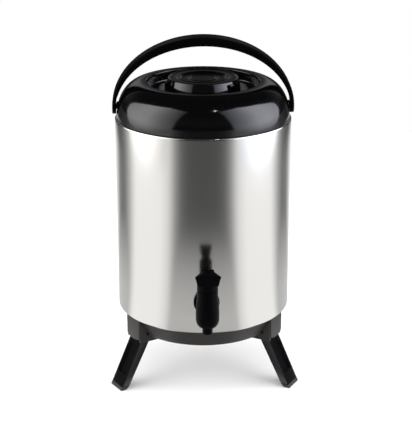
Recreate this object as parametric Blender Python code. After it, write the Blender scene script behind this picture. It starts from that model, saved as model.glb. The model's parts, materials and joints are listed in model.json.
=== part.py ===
"""Insulated drinks dispenser: a steel barrel on folding legs, with a screw lid, a carrying bail and a tap.

Metres, +Z up, floor at z = 0, tap towards -Y. The origin is the middle of the footprint's box.
"""
import math

import bmesh
import bpy
from mathutils import Matrix, Vector

# Fits
SEAT_GAP = 0.0003
RUN_GAP = 0.0005
WELD = 0.000001
OVERCUT = 0.004

# Facets
ROUND = 32
SMALL_ROUND = 20
PIN_ROUND = 12
CORNER_STEPS = 2
BOX_CORNER_STEPS = 1
DOME_STEPS = 7
DOME_INSIDE_STEPS = 3
CROWN_STEPS = 3
HEAD_STEPS = 8
EAR_STEPS = 4
NUT_SIDES = 6
SHARP_ANGLE = 35.0

# Barrel
FLOOR_TO_SHELL = 0.106
SHELL_RADIUS = 0.125
SHELL_HEIGHT = 0.283
SHELL_WALL = 0.0008
HEM_WIDTH = 0.006
HEM_ROUND = 0.003
BOTTOM_PLATE = 0.001
LINER_GAP = 0.021
LINER_WALL = 0.0007
LINER_FLOOR_RISE = 0.022
LINER_CORNER = 0.010
LINER_CROWN = 0.024

# Shoulder cover
SHOULDER_INSET = 0.0025
SHOULDER_WALL = 0.0024
SHOULDER_SKIRT = 0.012
SHOULDER_EDGE = 0.002
DOME_WIDTH = 0.035
DOME_RISE = 0.0483
RIM_WIDTH = 0.0075
RIM_ROUND = 0.0015
MOAT_DEPTH = 0.0153
MOAT_FILLET = 0.003

# Neck and lid
NECK_BORE = 0.0425
NECK_RING_WALL = 0.0035
NECK_FLANGE_WIDTH = 0.009
NECK_FLANGE = 0.003
NECK_SEAL = 0.0017
NECK_SEAL_WIDTH = 0.0065
NECK_BELOW_RIM = 0.0026
LIP_SETBACK = 0.0005
LID_THREAD_GAP = 0.003
LID_SKIRT_WALL = 0.003
LID_TOP = 0.005
LID_EDGE = 0.0015
LID_DISH_RADIUS = 0.032
LID_DISH_DEPTH = 0.0025
LID_SKIRT_LIFT = 0.0008
GASKET = 0.0017
PLUG_CLEARANCE = 0.002
PLUG_WALL = 0.0016
PLUG_DEPTH = 0.018
GRIP_LUGS = 3
GRIP_LUG_START = 75.0
GRIP_LUG_WIDTH = 0.007
GRIP_LUG_REACH = 0.0025

# Carrying bail
BAIL_PIVOT_RISE = 0.0145
BAIL_TOP_THICKNESS = 0.0120
BAIL_END_THICKNESS = 0.0055
BAIL_CLEARANCE = 0.0004
BAIL_SWELL = 0.75
BAIL_SWELL_START = 0.13
BAIL_HEIGHT = 0.0988
BAIL_TOP_WIDTH = 0.032
BAIL_END_WIDTH = 0.022
BAIL_ROUND = 0.0024
BAIL_STEPS = 24
BAIL_END_ANGLES = (25.0, 50.0, 72.0)
BAIL_PIN_RADIUS = 0.004
BAIL_PIN_HEAD_RADIUS = 0.0062
BAIL_PIN_HEAD = 0.002
BAIL_PIN_DEPTH = 0.012
BOSS_RADIUS = 0.0065
BOSS_DEPTH = 0.0145
BOSS_GAP = 0.0009

# Base
BASE_SETBACK = 0.0015
BASE_TAPER = 0.0115
BASE_DEPTH = 0.027
BASE_WALL = 0.0026
BASE_PLATE_DROP = 0.0058
BASE_PLATE = 0.0025
TONGUE_STANDOUT = 0.0025
TONGUE_WALL = 0.0057
TONGUE_LAP = 0.002
TONGUE_TIP_HALF_WIDTH = 0.0060
TONGUE_DROP = 0.0315
TONGUE_TIP_DROP = 0.034
CHEEK = 0.003
CHEEK_INNER_REACH = 0.018
CHEEK_DROP = 0.0095
TONGUE_STEPS = 4
SCREW_CIRCLE = 0.070
SCREW_RADIUS = 0.002
SCREW_HEAD_RADIUS = 0.004
SCREW_HEAD = 0.0022
SCREW_BITE = 0.005
SCREW_BOSS_RADIUS = 0.005

# Legs
LEG_ANGLES = {"front_left": 210.0, "front_right": 330.0, "rear": 90.0}
LEG_PIVOT_RISE = 0.003
LEG_HEAD_RADIUS = 0.0095
LEG_SPREAD = 0.0445
LEG_FACE_OFFSET = 0.0040
LEG_FOOT_THICKNESS = 0.0118
LEG_WIDTH = 0.031
LEG_PIN_RADIUS = 0.0025
PANEL_DEPTH = 0.0032
PANEL_BORDER = 0.0040
PANEL_TOP_DROP = 0.018
PANEL_FOOT_HEIGHT = 0.022
FOOT_PAD = 0.005
FOOT_CHAMFER = 0.003
FOOT_PEG_RADIUS = 0.003
FOOT_PEG = 0.006

# Tap
TAP_LIFT = 0.0025
TAP_REACH = 0.041
TAP_BOWL_RADIUS = 0.0156
TAP_BOWL_DROP = 0.021
TAP_BOWL_RISE = 0.006
TAP_BOWL_ROUND = 0.013
TAP_BOWL_STEPS = 3
TAP_SHOULDER_RISE = 0.024
TAP_WALL = 0.0026
TAP_FLOOR = 0.003
TAP_BARREL_RADIUS = 0.0119
TAP_BARREL_TOP = 0.042
NOZZLE_RADIUS = 0.0070
NOZZLE_BORE = 0.0044
NOZZLE_DROP = 0.030
SHANK_RADIUS = 0.0105
SHANK_BORE = 0.007
SHANK_INSIDE = 0.017
TAP_NECK_RADIUS = 0.0115
TAP_FLANGE_RADIUS = 0.018
TAP_FLANGE = 0.004
TAP_GASKET = 0.003
TAP_WASHER_RADIUS = 0.0155
TAP_WASHER = 0.0035
TAP_NUT_FLATS = 0.027
TAP_NUT = 0.008
BONNET_WALL = 0.0016
BONNET_SKIRT = 0.008
BONNET_TOP = 0.003
EAR_INNER = 0.0074
EAR_WIDTH = 0.0028
EAR_RADIUS = 0.0042
LEVER_PIN_RISE = 0.0072
LEVER_PIN_AHEAD = 0.0075
LEVER_PIN_RADIUS = 0.0015
LEVER_HUB_RADIUS = 0.0036
LEVER_TIP = 0.0155
LEVER_TAIL = 0.011
LEVER_PLATE_RISE = 0.0055
LEVER_PLATE = 0.0042
LEVER_APRON = 0.003
LEVER_APRON_DROP = 0.005
LEVER_APRON_TOP_WIDTH = 0.034
LEVER_APRON_FOOT_WIDTH = 0.028
LEVER_TAIL_WIDTH = 0.018
LEVER_TIP_WIDTH = 0.035
LEVER_ROUND = 0.0013
LEVER_STEPS = 6
LEVER_FLARE_START = 0.333
PRONG_DROP = 0.0028
PRONG_RADIUS = 0.0018
PRONG_OUTER = 0.006
STEM_RADIUS = 0.002
STEM_HEAD_RADIUS = 0.0034
STEM_HEAD = 0.002
STEM_FLANGE_RADIUS = 0.0065
STEM_FLANGE = 0.0015
SEAT_RADIUS = 0.0075
SEAT_HEIGHT = 0.0062
SEAT_FLOOR = 0.0025
SPRING_RADIUS = 0.005
SPRING_WIRE = 0.0006
SPRING_TURNS = 7
SPRING_POINTS = 8
SPRING_SIDES = 1

# Heights and radii that follow from the sizes above
SHELL_TOP = FLOOR_TO_SHELL + SHELL_HEIGHT
HEM_RADIUS = SHELL_RADIUS - HEM_WIDTH
PLATE_LOW = FLOOR_TO_SHELL + SHELL_WALL + SEAT_GAP
PLATE_HIGH = PLATE_LOW + BOTTOM_PLATE
LINER_RADIUS = SHELL_RADIUS - LINER_GAP - LINER_WALL
LINER_FLOOR = FLOOR_TO_SHELL + LINER_FLOOR_RISE
DOME_BASE = SHELL_TOP + SHOULDER_EDGE
DOME_INNER_RADIUS = SHELL_RADIUS - SHOULDER_INSET - DOME_WIDTH
RIM_RADIUS = DOME_INNER_RADIUS - RIM_WIDTH
RIM_TOP = DOME_BASE + DOME_RISE
MOAT_FLOOR = RIM_TOP - MOAT_DEPTH
MOAT_UNDER = MOAT_FLOOR - SHOULDER_WALL
NECK_OUTER = NECK_BORE + LINER_WALL + SEAT_GAP + NECK_RING_WALL
NECK_FLANGE_RADIUS = NECK_OUTER + NECK_FLANGE_WIDTH
LIP_RADIUS = NECK_OUTER - LIP_SETBACK
LID_RADIUS = NECK_OUTER + LID_THREAD_GAP + LID_SKIRT_WALL
NECK_TOP = RIM_TOP - NECK_BELOW_RIM
NECK_FLANGE_TOP = MOAT_UNDER - NECK_SEAL - 2 * SEAT_GAP
NECK_FLANGE_LOW = NECK_FLANGE_TOP - NECK_FLANGE
LIP_TOP = NECK_TOP + SEAT_GAP + LINER_WALL
LINER_CROWN_BASE = NECK_FLANGE_LOW - LINER_GAP / 2 - LINER_CROWN
GASKET_LOW = LIP_TOP + SEAT_GAP
LID_UNDER = GASKET_LOW + GASKET + SEAT_GAP
LID_HIGH = LID_UNDER + LID_TOP
PLUG_RADIUS = NECK_BORE - PLUG_CLEARANCE
PLUG_TOP = LID_UNDER - SEAT_GAP
BAIL_PIVOT = SHELL_TOP + BAIL_PIVOT_RISE
BAIL_INNER_SPAN = SHELL_RADIUS - SHOULDER_INSET + BAIL_CLEARANCE
BAIL_HALF_SPAN = BAIL_INNER_SPAN + BAIL_END_THICKNESS
BOSS_FACE = BAIL_INNER_SPAN - BOSS_GAP
BASE_LOW = FLOOR_TO_SHELL - BASE_DEPTH
BASE_TOP = PLATE_LOW - SEAT_GAP
BASE_PLATE_HIGH = BASE_TOP - BASE_PLATE_DROP
BASE_PLATE_LOW = BASE_PLATE_HIGH - BASE_PLATE
BASE_TOP_RADIUS = HEM_RADIUS - BASE_SETBACK
BASE_FOOT_RADIUS = BASE_TOP_RADIUS - BASE_TAPER
TONGUE_RADIUS = HEM_RADIUS + TONGUE_STANDOUT
LEG_PIVOT_RADIUS = TONGUE_RADIUS - TONGUE_WALL - SEAT_GAP - LEG_HEAD_RADIUS
LEG_PIVOT_HEIGHT = BASE_LOW + LEG_PIVOT_RISE
LEG_FOOT_RADIUS = LEG_PIVOT_RADIUS + LEG_SPREAD
PANEL_TOP_HEIGHT = LEG_PIVOT_HEIGHT - PANEL_TOP_DROP
LEG_LEAN = math.acos(LEG_FACE_OFFSET / math.hypot(LEG_SPREAD, LEG_PIVOT_HEIGHT)) - math.atan2(
    LEG_PIVOT_HEIGHT, LEG_SPREAD
)
TONGUE_FACE = LEG_PIVOT_RADIUS + LEG_HEAD_RADIUS + SEAT_GAP
CHEEK_FACE = LEG_WIDTH / 2 + RUN_GAP
TONGUE_HALF_WIDTH = CHEEK_FACE + TONGUE_LAP
TAP_AXIS = SHELL_RADIUS + TAP_REACH
TAP_HEIGHT = LINER_FLOOR + LINER_CORNER + TAP_WASHER_RADIUS + TAP_LIFT
TAP_SEAT = TAP_HEIGHT - TAP_BOWL_DROP + TAP_FLOOR
BONNET_LOW = TAP_HEIGHT + TAP_BARREL_TOP + SEAT_GAP
BONNET_HIGH = BONNET_LOW + BONNET_TOP
LEVER_PIN_Y = TAP_AXIS + LEVER_PIN_AHEAD
LEVER_PIN_Z = BONNET_HIGH + LEVER_PIN_RISE
FLANGE_BACK = SHELL_RADIUS + SEAT_GAP + TAP_GASKET + SEAT_GAP
STEM_FLANGE_LOW = TAP_SEAT + SEAT_GAP + SEAT_HEIGHT + SEAT_GAP
STEM_HEAD_LOW = LEVER_PIN_Z - PRONG_DROP + PRONG_RADIUS + SEAT_GAP
FRONT_REACH = LEVER_PIN_Y + LEVER_TIP
AXIS_Y = (FRONT_REACH - LEG_FOOT_RADIUS) / 2

FINISHES = {
    "satin_steel": ((0.62, 0.62, 0.61), 0.32, 1.0),
    "bright_steel": ((0.68, 0.68, 0.67), 0.22, 1.0),
    "gloss_black": ((0.006, 0.006, 0.007), 0.12, 0.0),
    "satin_black": ((0.012, 0.012, 0.013), 0.38, 0.0),
    "dark_grey": ((0.045, 0.046, 0.048), 0.42, 0.0),
    "clear_silicone": ((0.72, 0.72, 0.70), 0.50, 0.0),
    "black_rubber": ((0.010, 0.010, 0.010), 0.75, 0.0),
    "foam": ((0.80, 0.70, 0.42), 0.90, 0.0),
}


def clear_scene():
    for leftover in list(bpy.data.objects):
        bpy.data.objects.remove(leftover, do_unlink=True)


def arc(centre_r, centre_z, radius_r, radius_z, start, end, steps=CORNER_STEPS):
    """Points on an elliptical arc, from start to end degrees, both ends included."""
    points = []
    for step in range(steps + 1):
        angle = math.radians(start + (end - start) * step / steps)
        points.append((centre_r + radius_r * math.cos(angle), centre_z + radius_z * math.sin(angle)))
    return points


def lathe(profile, sides=ROUND):
    """Turn a (radius, height) profile round Z, with a facet facing +X.

    A profile that starts on the axis also ends on it, and any other is closed into a ring.
    """
    bm = bmesh.new()
    verts = [bm.verts.new((radius, 0.0, height)) for radius, height in profile]
    for first, second in zip(verts, verts[1:]):
        bm.edges.new((first, second))
    if profile[0][0] > WELD:
        bm.edges.new((verts[-1], verts[0]))
    bmesh.ops.spin(
        bm,
        geom=bm.verts[:] + bm.edges[:],
        cent=(0.0, 0.0, 0.0),
        axis=(0.0, 0.0, 1.0),
        angle=2 * math.pi,
        steps=sides,
        use_merge=True,
    )
    bmesh.ops.remove_doubles(bm, verts=bm.verts[:], dist=WELD)
    bmesh.ops.recalc_face_normals(bm, faces=bm.faces[:])
    half_facet = Matrix.Rotation(math.pi / sides, 3, "Z")
    bmesh.ops.rotate(bm, verts=bm.verts[:], cent=(0.0, 0.0, 0.0), matrix=half_facet)
    return bm


def cylinder(radius, low, high, sides=SMALL_ROUND):
    """A plain rod along Z."""
    return lathe([(0.0, low), (radius, low), (radius, high), (0.0, high)], sides)


def prism(outline, low, high):
    """Extrude an outline of (x, z) points along Y, from low to high."""
    bm = bmesh.new()
    face = bm.faces.new([bm.verts.new((x, low, z)) for x, z in outline])
    grown = bmesh.ops.extrude_face_region(bm, geom=[face])
    moved = [item for item in grown["geom"] if isinstance(item, bmesh.types.BMVert)]
    bmesh.ops.translate(bm, verts=moved, vec=(0.0, high - low, 0.0))
    bmesh.ops.recalc_face_normals(bm, faces=bm.faces[:])
    return bm


def block(x_range, y_range, z_range):
    """A box between the given limits."""
    left, right = x_range
    low, high = z_range
    return prism([(left, low), (right, low), (right, high), (left, high)], *y_range)


def loft(rings):
    """Bridge a row of point rings and close both ends."""
    bm = bmesh.new()
    loops = []
    for ring in rings:
        verts = [bm.verts.new(point) for point in ring]
        loops.append([bm.edges.new(pair) for pair in zip(verts, verts[1:] + verts[:1])])
        if ring is rings[0] or ring is rings[-1]:
            bm.faces.new(verts)
    for lower, upper in zip(loops, loops[1:]):
        bmesh.ops.bridge_loops(bm, edges=lower + upper)
    bmesh.ops.recalc_face_normals(bm, faces=bm.faces[:])
    return bm


def rounded_box(half_width, half_height, corner):
    """Outline of a rectangle with rounded corners, as (across, up) points."""
    points = []
    for quarter, (side, level) in enumerate(((1, 1), (-1, 1), (-1, -1), (1, -1))):
        centre = (side * (half_width - corner), level * (half_height - corner))
        points += arc(*centre, corner, corner, 90 * quarter, 90 * quarter + 90, BOX_CORNER_STEPS)
    return points


def moved(bm, matrix):
    """The same mesh, placed by a matrix."""
    bmesh.ops.transform(bm, matrix=matrix, verts=bm.verts[:])
    return bm


def along_x(bm, x=0.0, y=0.0, z=0.0, side=1):
    """Lay a mesh turned round Z along +X or -X."""
    return moved(bm, Matrix.Translation((x, y, z)) @ Matrix.Rotation(side * math.pi / 2, 4, "Y"))


def along_front(bm, height):
    """Lay a mesh turned round Z along -Y, so that its height counts out from the barrel's axis."""
    return moved(bm, Matrix.Translation((0.0, 0.0, height)) @ Matrix.Rotation(math.pi / 2, 4, "X"))


def at_tap(bm):
    """Stand a mesh turned round Z on the tap's own upright axis."""
    return moved(bm, Matrix.Translation((0.0, -TAP_AXIS, 0.0)))


def material(name, finish):
    colour, roughness, metallic = FINISHES[finish]
    made = bpy.data.materials.new(f"{name}_{finish}")
    made.use_nodes = True
    shader = made.node_tree.nodes["Principled BSDF"]
    shader.inputs["Base Color"].default_value = (*colour, 1.0)
    shader.inputs["Roughness"].default_value = roughness
    shader.inputs["Metallic"].default_value = metallic
    return made


def place(name, data, frame, location, turn):
    made = bpy.data.objects.new(name, data)
    bpy.context.scene.collection.objects.link(made)
    made.parent = frame
    made.location = location
    made.rotation_euler = (0.0, 0.0, math.radians(turn))
    return made


def mesh_from(name, bm):
    mesh = bpy.data.meshes.new(name)
    bm.to_mesh(mesh)
    bm.free()
    return mesh


def add_part(name, bm, finish, frame, location=(0.0, 0.0, 0.0), turn=0.0):
    """One sub-part: a named object with its own material."""
    mesh = mesh_from(name, bm)
    mesh.shade_smooth()
    mesh.set_sharp_from_angle(angle=math.radians(SHARP_ANGLE))
    mesh.materials.append(material(name, finish))
    return place(name, mesh, frame, location, turn)


def together(pieces):
    """Several separate meshes as one, for a tool that works in several places at once."""
    whole = bmesh.new()
    for piece in pieces:
        mesh = mesh_from("piece", piece)
        whole.from_mesh(mesh)
        bpy.data.meshes.remove(mesh)
    return whole


def add_tool(part, bm, label):
    """A wire-drawn tool mesh in the part's own frame, which isn't a piece of the object."""
    name = f"{label}_{part.name}_{len(part.modifiers)}"
    tool = place(name, mesh_from(name, bm), part.parent, part.location, 0.0)
    tool.rotation_euler = part.rotation_euler
    tool.hide_render = True
    tool.display_type = "WIRE"
    return tool


def work(part, tool, operation):
    change = part.modifiers.new(tool.name, "BOOLEAN")
    change.operation = operation
    change.solver = "EXACT"
    change.object = tool


def join(part, bm):
    """Make a mesh, drawn in the part's own frame, one with the part."""
    work(part, add_tool(part, bm, "join"), "UNION")


def cut(part, bm, crossing=None):
    """Take a mesh out of the part, together with a second one that crosses it."""
    tool = add_tool(part, bm, "cut")
    if crossing:
        work(tool, add_tool(part, crossing, "crossing"), "UNION")
    work(part, tool, "DIFFERENCE")


def tap_way(radius):
    """A rod along the tap's shank, for the holes that it passes through."""
    return along_front(cylinder(radius, LINER_RADIUS - OVERCUT, SHELL_RADIUS + OVERCUT), TAP_HEIGHT)


def make_shell(frame):
    low, high = FLOOR_TO_SHELL, SHELL_TOP
    corner_r = SHELL_RADIUS - HEM_ROUND
    inner_round = HEM_ROUND - SHELL_WALL
    outside = [(HEM_RADIUS, low)]
    outside += arc(corner_r, low + HEM_ROUND, HEM_ROUND, HEM_ROUND, -90, 0)
    outside += arc(corner_r, high - HEM_ROUND, HEM_ROUND, HEM_ROUND, 0, 90)
    outside.append((HEM_RADIUS, high))
    inside = [(HEM_RADIUS, high - SHELL_WALL)]
    inside += arc(corner_r, high - HEM_ROUND, inner_round, inner_round, 90, 0)
    inside += arc(corner_r, low + HEM_ROUND, inner_round, inner_round, 0, -90)
    inside.append((HEM_RADIUS, low + SHELL_WALL))
    shell = add_part("outer_shell", lathe(outside + inside), "satin_steel", frame)
    cut(shell, tap_way(SHANK_RADIUS + RUN_GAP))


def screw_places():
    """Screws sit halfway between the legs."""
    between = 180 / len(LEG_ANGLES)
    for angle in LEG_ANGLES.values():
        turn = math.radians(angle + between)
        yield Vector((SCREW_CIRCLE * math.cos(turn), SCREW_CIRCLE * math.sin(turn), 0.0))


def screw_rods(radius, low, high):
    """A rod on each screw's place."""
    return together(
        moved(cylinder(radius, low, high, PIN_ROUND), Matrix.Translation(spot)) for spot in screw_places()
    )


def make_bottom_plate(frame):
    radius = SHELL_RADIUS - SHELL_WALL - HEM_ROUND
    plate = add_part("bottom_plate", cylinder(radius, PLATE_LOW, PLATE_HIGH, ROUND), "bright_steel", frame)
    cut(plate, screw_rods(SCREW_RADIUS + SEAT_GAP, PLATE_LOW - OVERCUT, PLATE_HIGH + OVERCUT))


def liner_section(skin, neck_top):
    """Half section of the liner, drawn skin metres outside its inner face, from floor to neck."""
    corner = LINER_CORNER + skin
    width = LINER_RADIUS - NECK_BORE + skin
    rise = LINER_CROWN + skin
    end = math.degrees(math.acos(skin / width))
    points = [(0.0, LINER_FLOOR - skin)]
    points += arc(LINER_RADIUS - LINER_CORNER, LINER_FLOOR + LINER_CORNER, corner, corner, -90, 0)
    points += arc(NECK_BORE, LINER_CROWN_BASE, width, rise, 0, end, CROWN_STEPS)
    points.append((NECK_BORE + skin, neck_top))
    return points


def make_liner(frame):
    inside = liner_section(0.0, LIP_TOP)
    outside = liner_section(LINER_WALL, LIP_TOP - LINER_WALL)
    lip = [(LIP_RADIUS, LIP_TOP), (LIP_RADIUS, LIP_TOP - LINER_WALL)]
    liner = add_part("inner_liner", lathe(inside + lip + outside[::-1]), "bright_steel", frame)
    cut(liner, tap_way(SHANK_RADIUS + RUN_GAP))


def crown_cone(radius):
    """Height, at a radius, of the cone that lies on the liner's domed crown."""
    skin = LINER_WALL + SEAT_GAP
    wide = math.sqrt(2) * (LINER_RADIUS - NECK_BORE + skin)
    rise = math.sqrt(2) * (LINER_CROWN + skin)
    return LINER_CROWN_BASE + rise * (1 - (radius - NECK_BORE) / wide)


def make_foam(frame):
    low = PLATE_HIGH + SEAT_GAP
    floor_top = LINER_FLOOR - LINER_WALL - SEAT_GAP
    skirt_low = SHELL_TOP - SHOULDER_SKIRT - SEAT_GAP
    skirt_inside = HEM_RADIUS - SHOULDER_WALL - 2 * SEAT_GAP
    shell_inside = SHELL_RADIUS - SHELL_WALL - SEAT_GAP
    floor_round = HEM_ROUND
    disc = [(0.0, low)]
    disc += arc(shell_inside - floor_round, low + floor_round, floor_round, floor_round, -90, 0)
    disc += [(shell_inside, floor_top), (0.0, floor_top)]
    floor = add_part("foam_floor", lathe(disc), "foam", frame)
    cut(floor, screw_rods(SCREW_RADIUS + SEAT_GAP, low - OVERCUT, PLATE_HIGH + SCREW_BITE + SEAT_GAP))
    bore = LINER_RADIUS + LINER_WALL + SEAT_GAP
    sleeve = [(bore, floor_top + SEAT_GAP), (shell_inside, floor_top + SEAT_GAP), (shell_inside, skirt_low)]
    sleeve += [(skirt_inside, skirt_low), (skirt_inside, SHELL_TOP), (bore, SHELL_TOP)]
    wall = add_part("foam_wall", lathe(sleeve), "foam", frame)
    cut(wall, tap_way(SHANK_RADIUS + RUN_GAP))
    inner = NECK_BORE + LINER_GAP / 2
    outer = BOSS_FACE - BOSS_DEPTH - BOSS_RADIUS
    top = NECK_FLANGE_LOW - SEAT_GAP
    crown = [(inner, crown_cone(inner)), (outer, crown_cone(outer)), (outer, top), (inner, top)]
    add_part("foam_crown", lathe(crown), "foam", frame)


def make_shoulder(frame):
    base_radius = SHELL_RADIUS - SHOULDER_INSET
    skirt_radius = HEM_RADIUS - SEAT_GAP
    skirt_low = SHELL_TOP - SHOULDER_SKIRT
    seat = SHELL_TOP + SEAT_GAP
    wall = SHOULDER_WALL
    hole = NECK_OUTER + SEAT_GAP
    moat_radius = RIM_RADIUS - wall
    dome_angle = math.degrees(math.asin((seat + wall - DOME_BASE) / (DOME_RISE - wall)))
    inner_edge = math.degrees(math.acos((RIM_RADIUS + wall - DOME_INNER_RADIUS) / (DOME_WIDTH - wall)))
    outside = [(skirt_radius, skirt_low), (skirt_radius, seat), (base_radius, seat)]
    outside += arc(DOME_INNER_RADIUS, DOME_BASE, DOME_WIDTH, DOME_RISE, 0, 90, DOME_STEPS)
    outside += arc(RIM_RADIUS + RIM_ROUND, RIM_TOP - RIM_ROUND, RIM_ROUND, RIM_ROUND, 90, 180)
    outside += arc(moat_radius - MOAT_FILLET, MOAT_FLOOR + MOAT_FILLET, MOAT_FILLET, MOAT_FILLET, 0, -90)
    outside.append((hole, MOAT_FLOOR))
    inside = [(hole, MOAT_UNDER), (moat_radius + wall, MOAT_UNDER)]
    inside += arc(
        DOME_INNER_RADIUS,
        DOME_BASE,
        DOME_WIDTH - wall,
        DOME_RISE - wall,
        inner_edge,
        dome_angle,
        DOME_INSIDE_STEPS,
    )
    inside += [(skirt_radius - wall, seat + wall), (skirt_radius - wall, skirt_low)]
    shoulder = add_part("shoulder_cover", lathe(outside + inside), "gloss_black", frame)
    bosses = []
    for side in (1, -1):
        boss = cylinder(BOSS_RADIUS, BOSS_FACE - BOSS_DEPTH, BOSS_FACE)
        bosses.append(along_x(boss, z=BAIL_PIVOT, side=side))
    join(shoulder, together(bosses))
    bore = BOSS_FACE + OVERCUT
    cut(shoulder, along_x(cylinder(BAIL_PIN_RADIUS + SEAT_GAP, -bore, bore), z=BAIL_PIVOT))


def make_neck(frame):
    inner = NECK_BORE + LINER_WALL + SEAT_GAP
    ring = [
        (inner, NECK_FLANGE_LOW),
        (NECK_FLANGE_RADIUS, NECK_FLANGE_LOW),
        (NECK_FLANGE_RADIUS, NECK_FLANGE_TOP),
        (NECK_OUTER, NECK_FLANGE_TOP),
        (NECK_OUTER, NECK_TOP),
        (inner, NECK_TOP),
    ]
    add_part("neck_ring", lathe(ring), "satin_black", frame)
    low = NECK_FLANGE_TOP + SEAT_GAP
    high = MOAT_UNDER - SEAT_GAP
    outer = NECK_FLANGE_RADIUS - SEAT_GAP
    seal = [(outer - NECK_SEAL_WIDTH, low), (outer, low), (outer, high), (outer - NECK_SEAL_WIDTH, high)]
    add_part("neck_seal", lathe(seal), "clear_silicone", frame)


def make_lid(frame):
    skirt_low = MOAT_FLOOR + LID_SKIRT_LIFT
    inner = LID_RADIUS - LID_SKIRT_WALL
    dish_floor = LID_HIGH - LID_DISH_DEPTH
    cap_profile = [(0.0, LID_UNDER), (inner, LID_UNDER), (inner, skirt_low), (LID_RADIUS, skirt_low)]
    cap_profile += arc(LID_RADIUS - LID_EDGE, LID_HIGH - LID_EDGE, LID_EDGE, LID_EDGE, 0, 90)
    cap_profile += [(LID_DISH_RADIUS + LID_EDGE, LID_HIGH)]
    cap_profile += arc(LID_DISH_RADIUS - LID_EDGE, dish_floor + LID_EDGE, LID_EDGE, LID_EDGE, 0, -90)
    cap_profile += [(0.0, dish_floor)]
    cap = add_part("lid_cap", lathe(cap_profile), "gloss_black", frame)
    lugs = []
    for copy in range(GRIP_LUGS):
        turn = math.radians(GRIP_LUG_START + 360 * copy / GRIP_LUGS)
        half = GRIP_LUG_WIDTH / 2
        reach = (LID_RADIUS - LID_SKIRT_WALL / 2, LID_RADIUS + GRIP_LUG_REACH)
        lug = block(reach, (-half, half), (skirt_low, LID_HIGH - 2 * LID_EDGE))
        lugs.append(moved(lug, Matrix.Rotation(turn, 4, "Z")))
    join(cap, together(lugs))
    plug_low = PLUG_TOP - PLUG_DEPTH
    bore = PLUG_RADIUS - PLUG_WALL
    plug = [(0.0, plug_low)]
    plug += arc(PLUG_RADIUS - LID_EDGE, plug_low + LID_EDGE, LID_EDGE, LID_EDGE, -90, 0)
    plug += [(PLUG_RADIUS, PLUG_TOP), (bore, PLUG_TOP)]
    plug += [(bore, plug_low + PLUG_WALL), (0.0, plug_low + PLUG_WALL)]
    add_part("lid_plug", lathe(plug), "satin_black", frame)
    foam_low = plug_low + PLUG_WALL + SEAT_GAP
    add_part("lid_foam", cylinder(bore - SEAT_GAP, foam_low, PLUG_TOP, ROUND), "foam", frame)
    hug = PLUG_RADIUS + SEAT_GAP
    high = GASKET_LOW + GASKET
    gasket = [(hug, GASKET_LOW), (LIP_RADIUS, GASKET_LOW), (LIP_RADIUS, high), (hug, high)]
    add_part("lid_gasket", lathe(gasket), "clear_silicone", frame)


def bail_ring(angle):
    """One cross-section of the bail, at an angle round its arch."""
    outer = Vector((BAIL_HALF_SPAN * math.cos(angle), 0.0, BAIL_HEIGHT * math.sin(angle)))
    across_arch = Vector((math.cos(angle) / BAIL_HALF_SPAN, 0.0, math.sin(angle) / BAIL_HEIGHT))
    through = across_arch.normalized()
    rise = (math.sin(angle) - BAIL_SWELL_START) / (1 - BAIL_SWELL_START)
    swell = max(0.0, rise) ** BAIL_SWELL
    half_depth = (BAIL_END_THICKNESS + (BAIL_TOP_THICKNESS - BAIL_END_THICKNESS) * swell) / 2
    middle = outer - through * half_depth
    half_width = (BAIL_END_WIDTH + (BAIL_TOP_WIDTH - BAIL_END_WIDTH) * math.sin(angle) ** 2) / 2
    outline = rounded_box(half_width, half_depth, BAIL_ROUND)
    return [middle + through * depth + Vector((0.0, across, 0.0)) for across, depth in outline]


def bail_end_rings(side):
    """Cross-sections of a rounded end below the pivot, from the pivot down."""
    middle = side * (BAIL_HALF_SPAN + BAIL_INNER_SPAN) / 2
    rings = []
    for angle in BAIL_END_ANGLES:
        turn = math.radians(angle)
        drop = BAIL_END_WIDTH / 2 * math.sin(turn)
        half_width = BAIL_END_WIDTH / 2 * math.cos(turn)
        outline = rounded_box(half_width, BAIL_END_THICKNESS / 2, BAIL_ROUND)
        rings.append([Vector((middle + side * depth, across, -drop)) for across, depth in outline])
    return rings


def make_bail(frame):
    arch = [bail_ring(math.pi * step / BAIL_STEPS) for step in range(BAIL_STEPS + 1)]
    rings = bail_end_rings(1)[::-1] + arch + bail_end_rings(-1)
    bail = add_part("carry_bail", loft(rings), "satin_black", frame, location=(0.0, 0.0, BAIL_PIVOT))
    bore = BAIL_HALF_SPAN + OVERCUT
    head_low = BAIL_HALF_SPAN - BAIL_PIN_HEAD
    wide = BAIL_PIN_HEAD_RADIUS + SEAT_GAP
    narrow = BAIL_PIN_RADIUS + SEAT_GAP
    step = head_low - SEAT_GAP
    way = [(0.0, -bore), (wide, -bore), (wide, -step), (narrow, -step)]
    way += [(radius, -height) for radius, height in way[::-1]]
    cut(bail, along_x(lathe(way, SMALL_ROUND)))
    for side, name in ((1, "bail_pin_right"), (-1, "bail_pin_left")):
        pin = [
            (0.0, BOSS_FACE - BAIL_PIN_DEPTH),
            (BAIL_PIN_RADIUS, BOSS_FACE - BAIL_PIN_DEPTH),
            (BAIL_PIN_RADIUS, head_low),
            (BAIL_PIN_HEAD_RADIUS, head_low),
            (BAIL_PIN_HEAD_RADIUS, BAIL_HALF_SPAN),
            (0.0, BAIL_HALF_SPAN),
        ]
        pin_mesh = along_x(lathe(pin, SMALL_ROUND), z=BAIL_PIVOT, side=side)
        add_part(name, pin_mesh, "satin_black", frame)


def base_radius_at(height):
    """Outer radius of the base's flared wall at a height."""
    share = (height - BASE_LOW) / (BASE_TOP - BASE_LOW)
    return BASE_FOOT_RADIUS + (BASE_TOP_RADIUS - BASE_FOOT_RADIUS) * share


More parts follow.
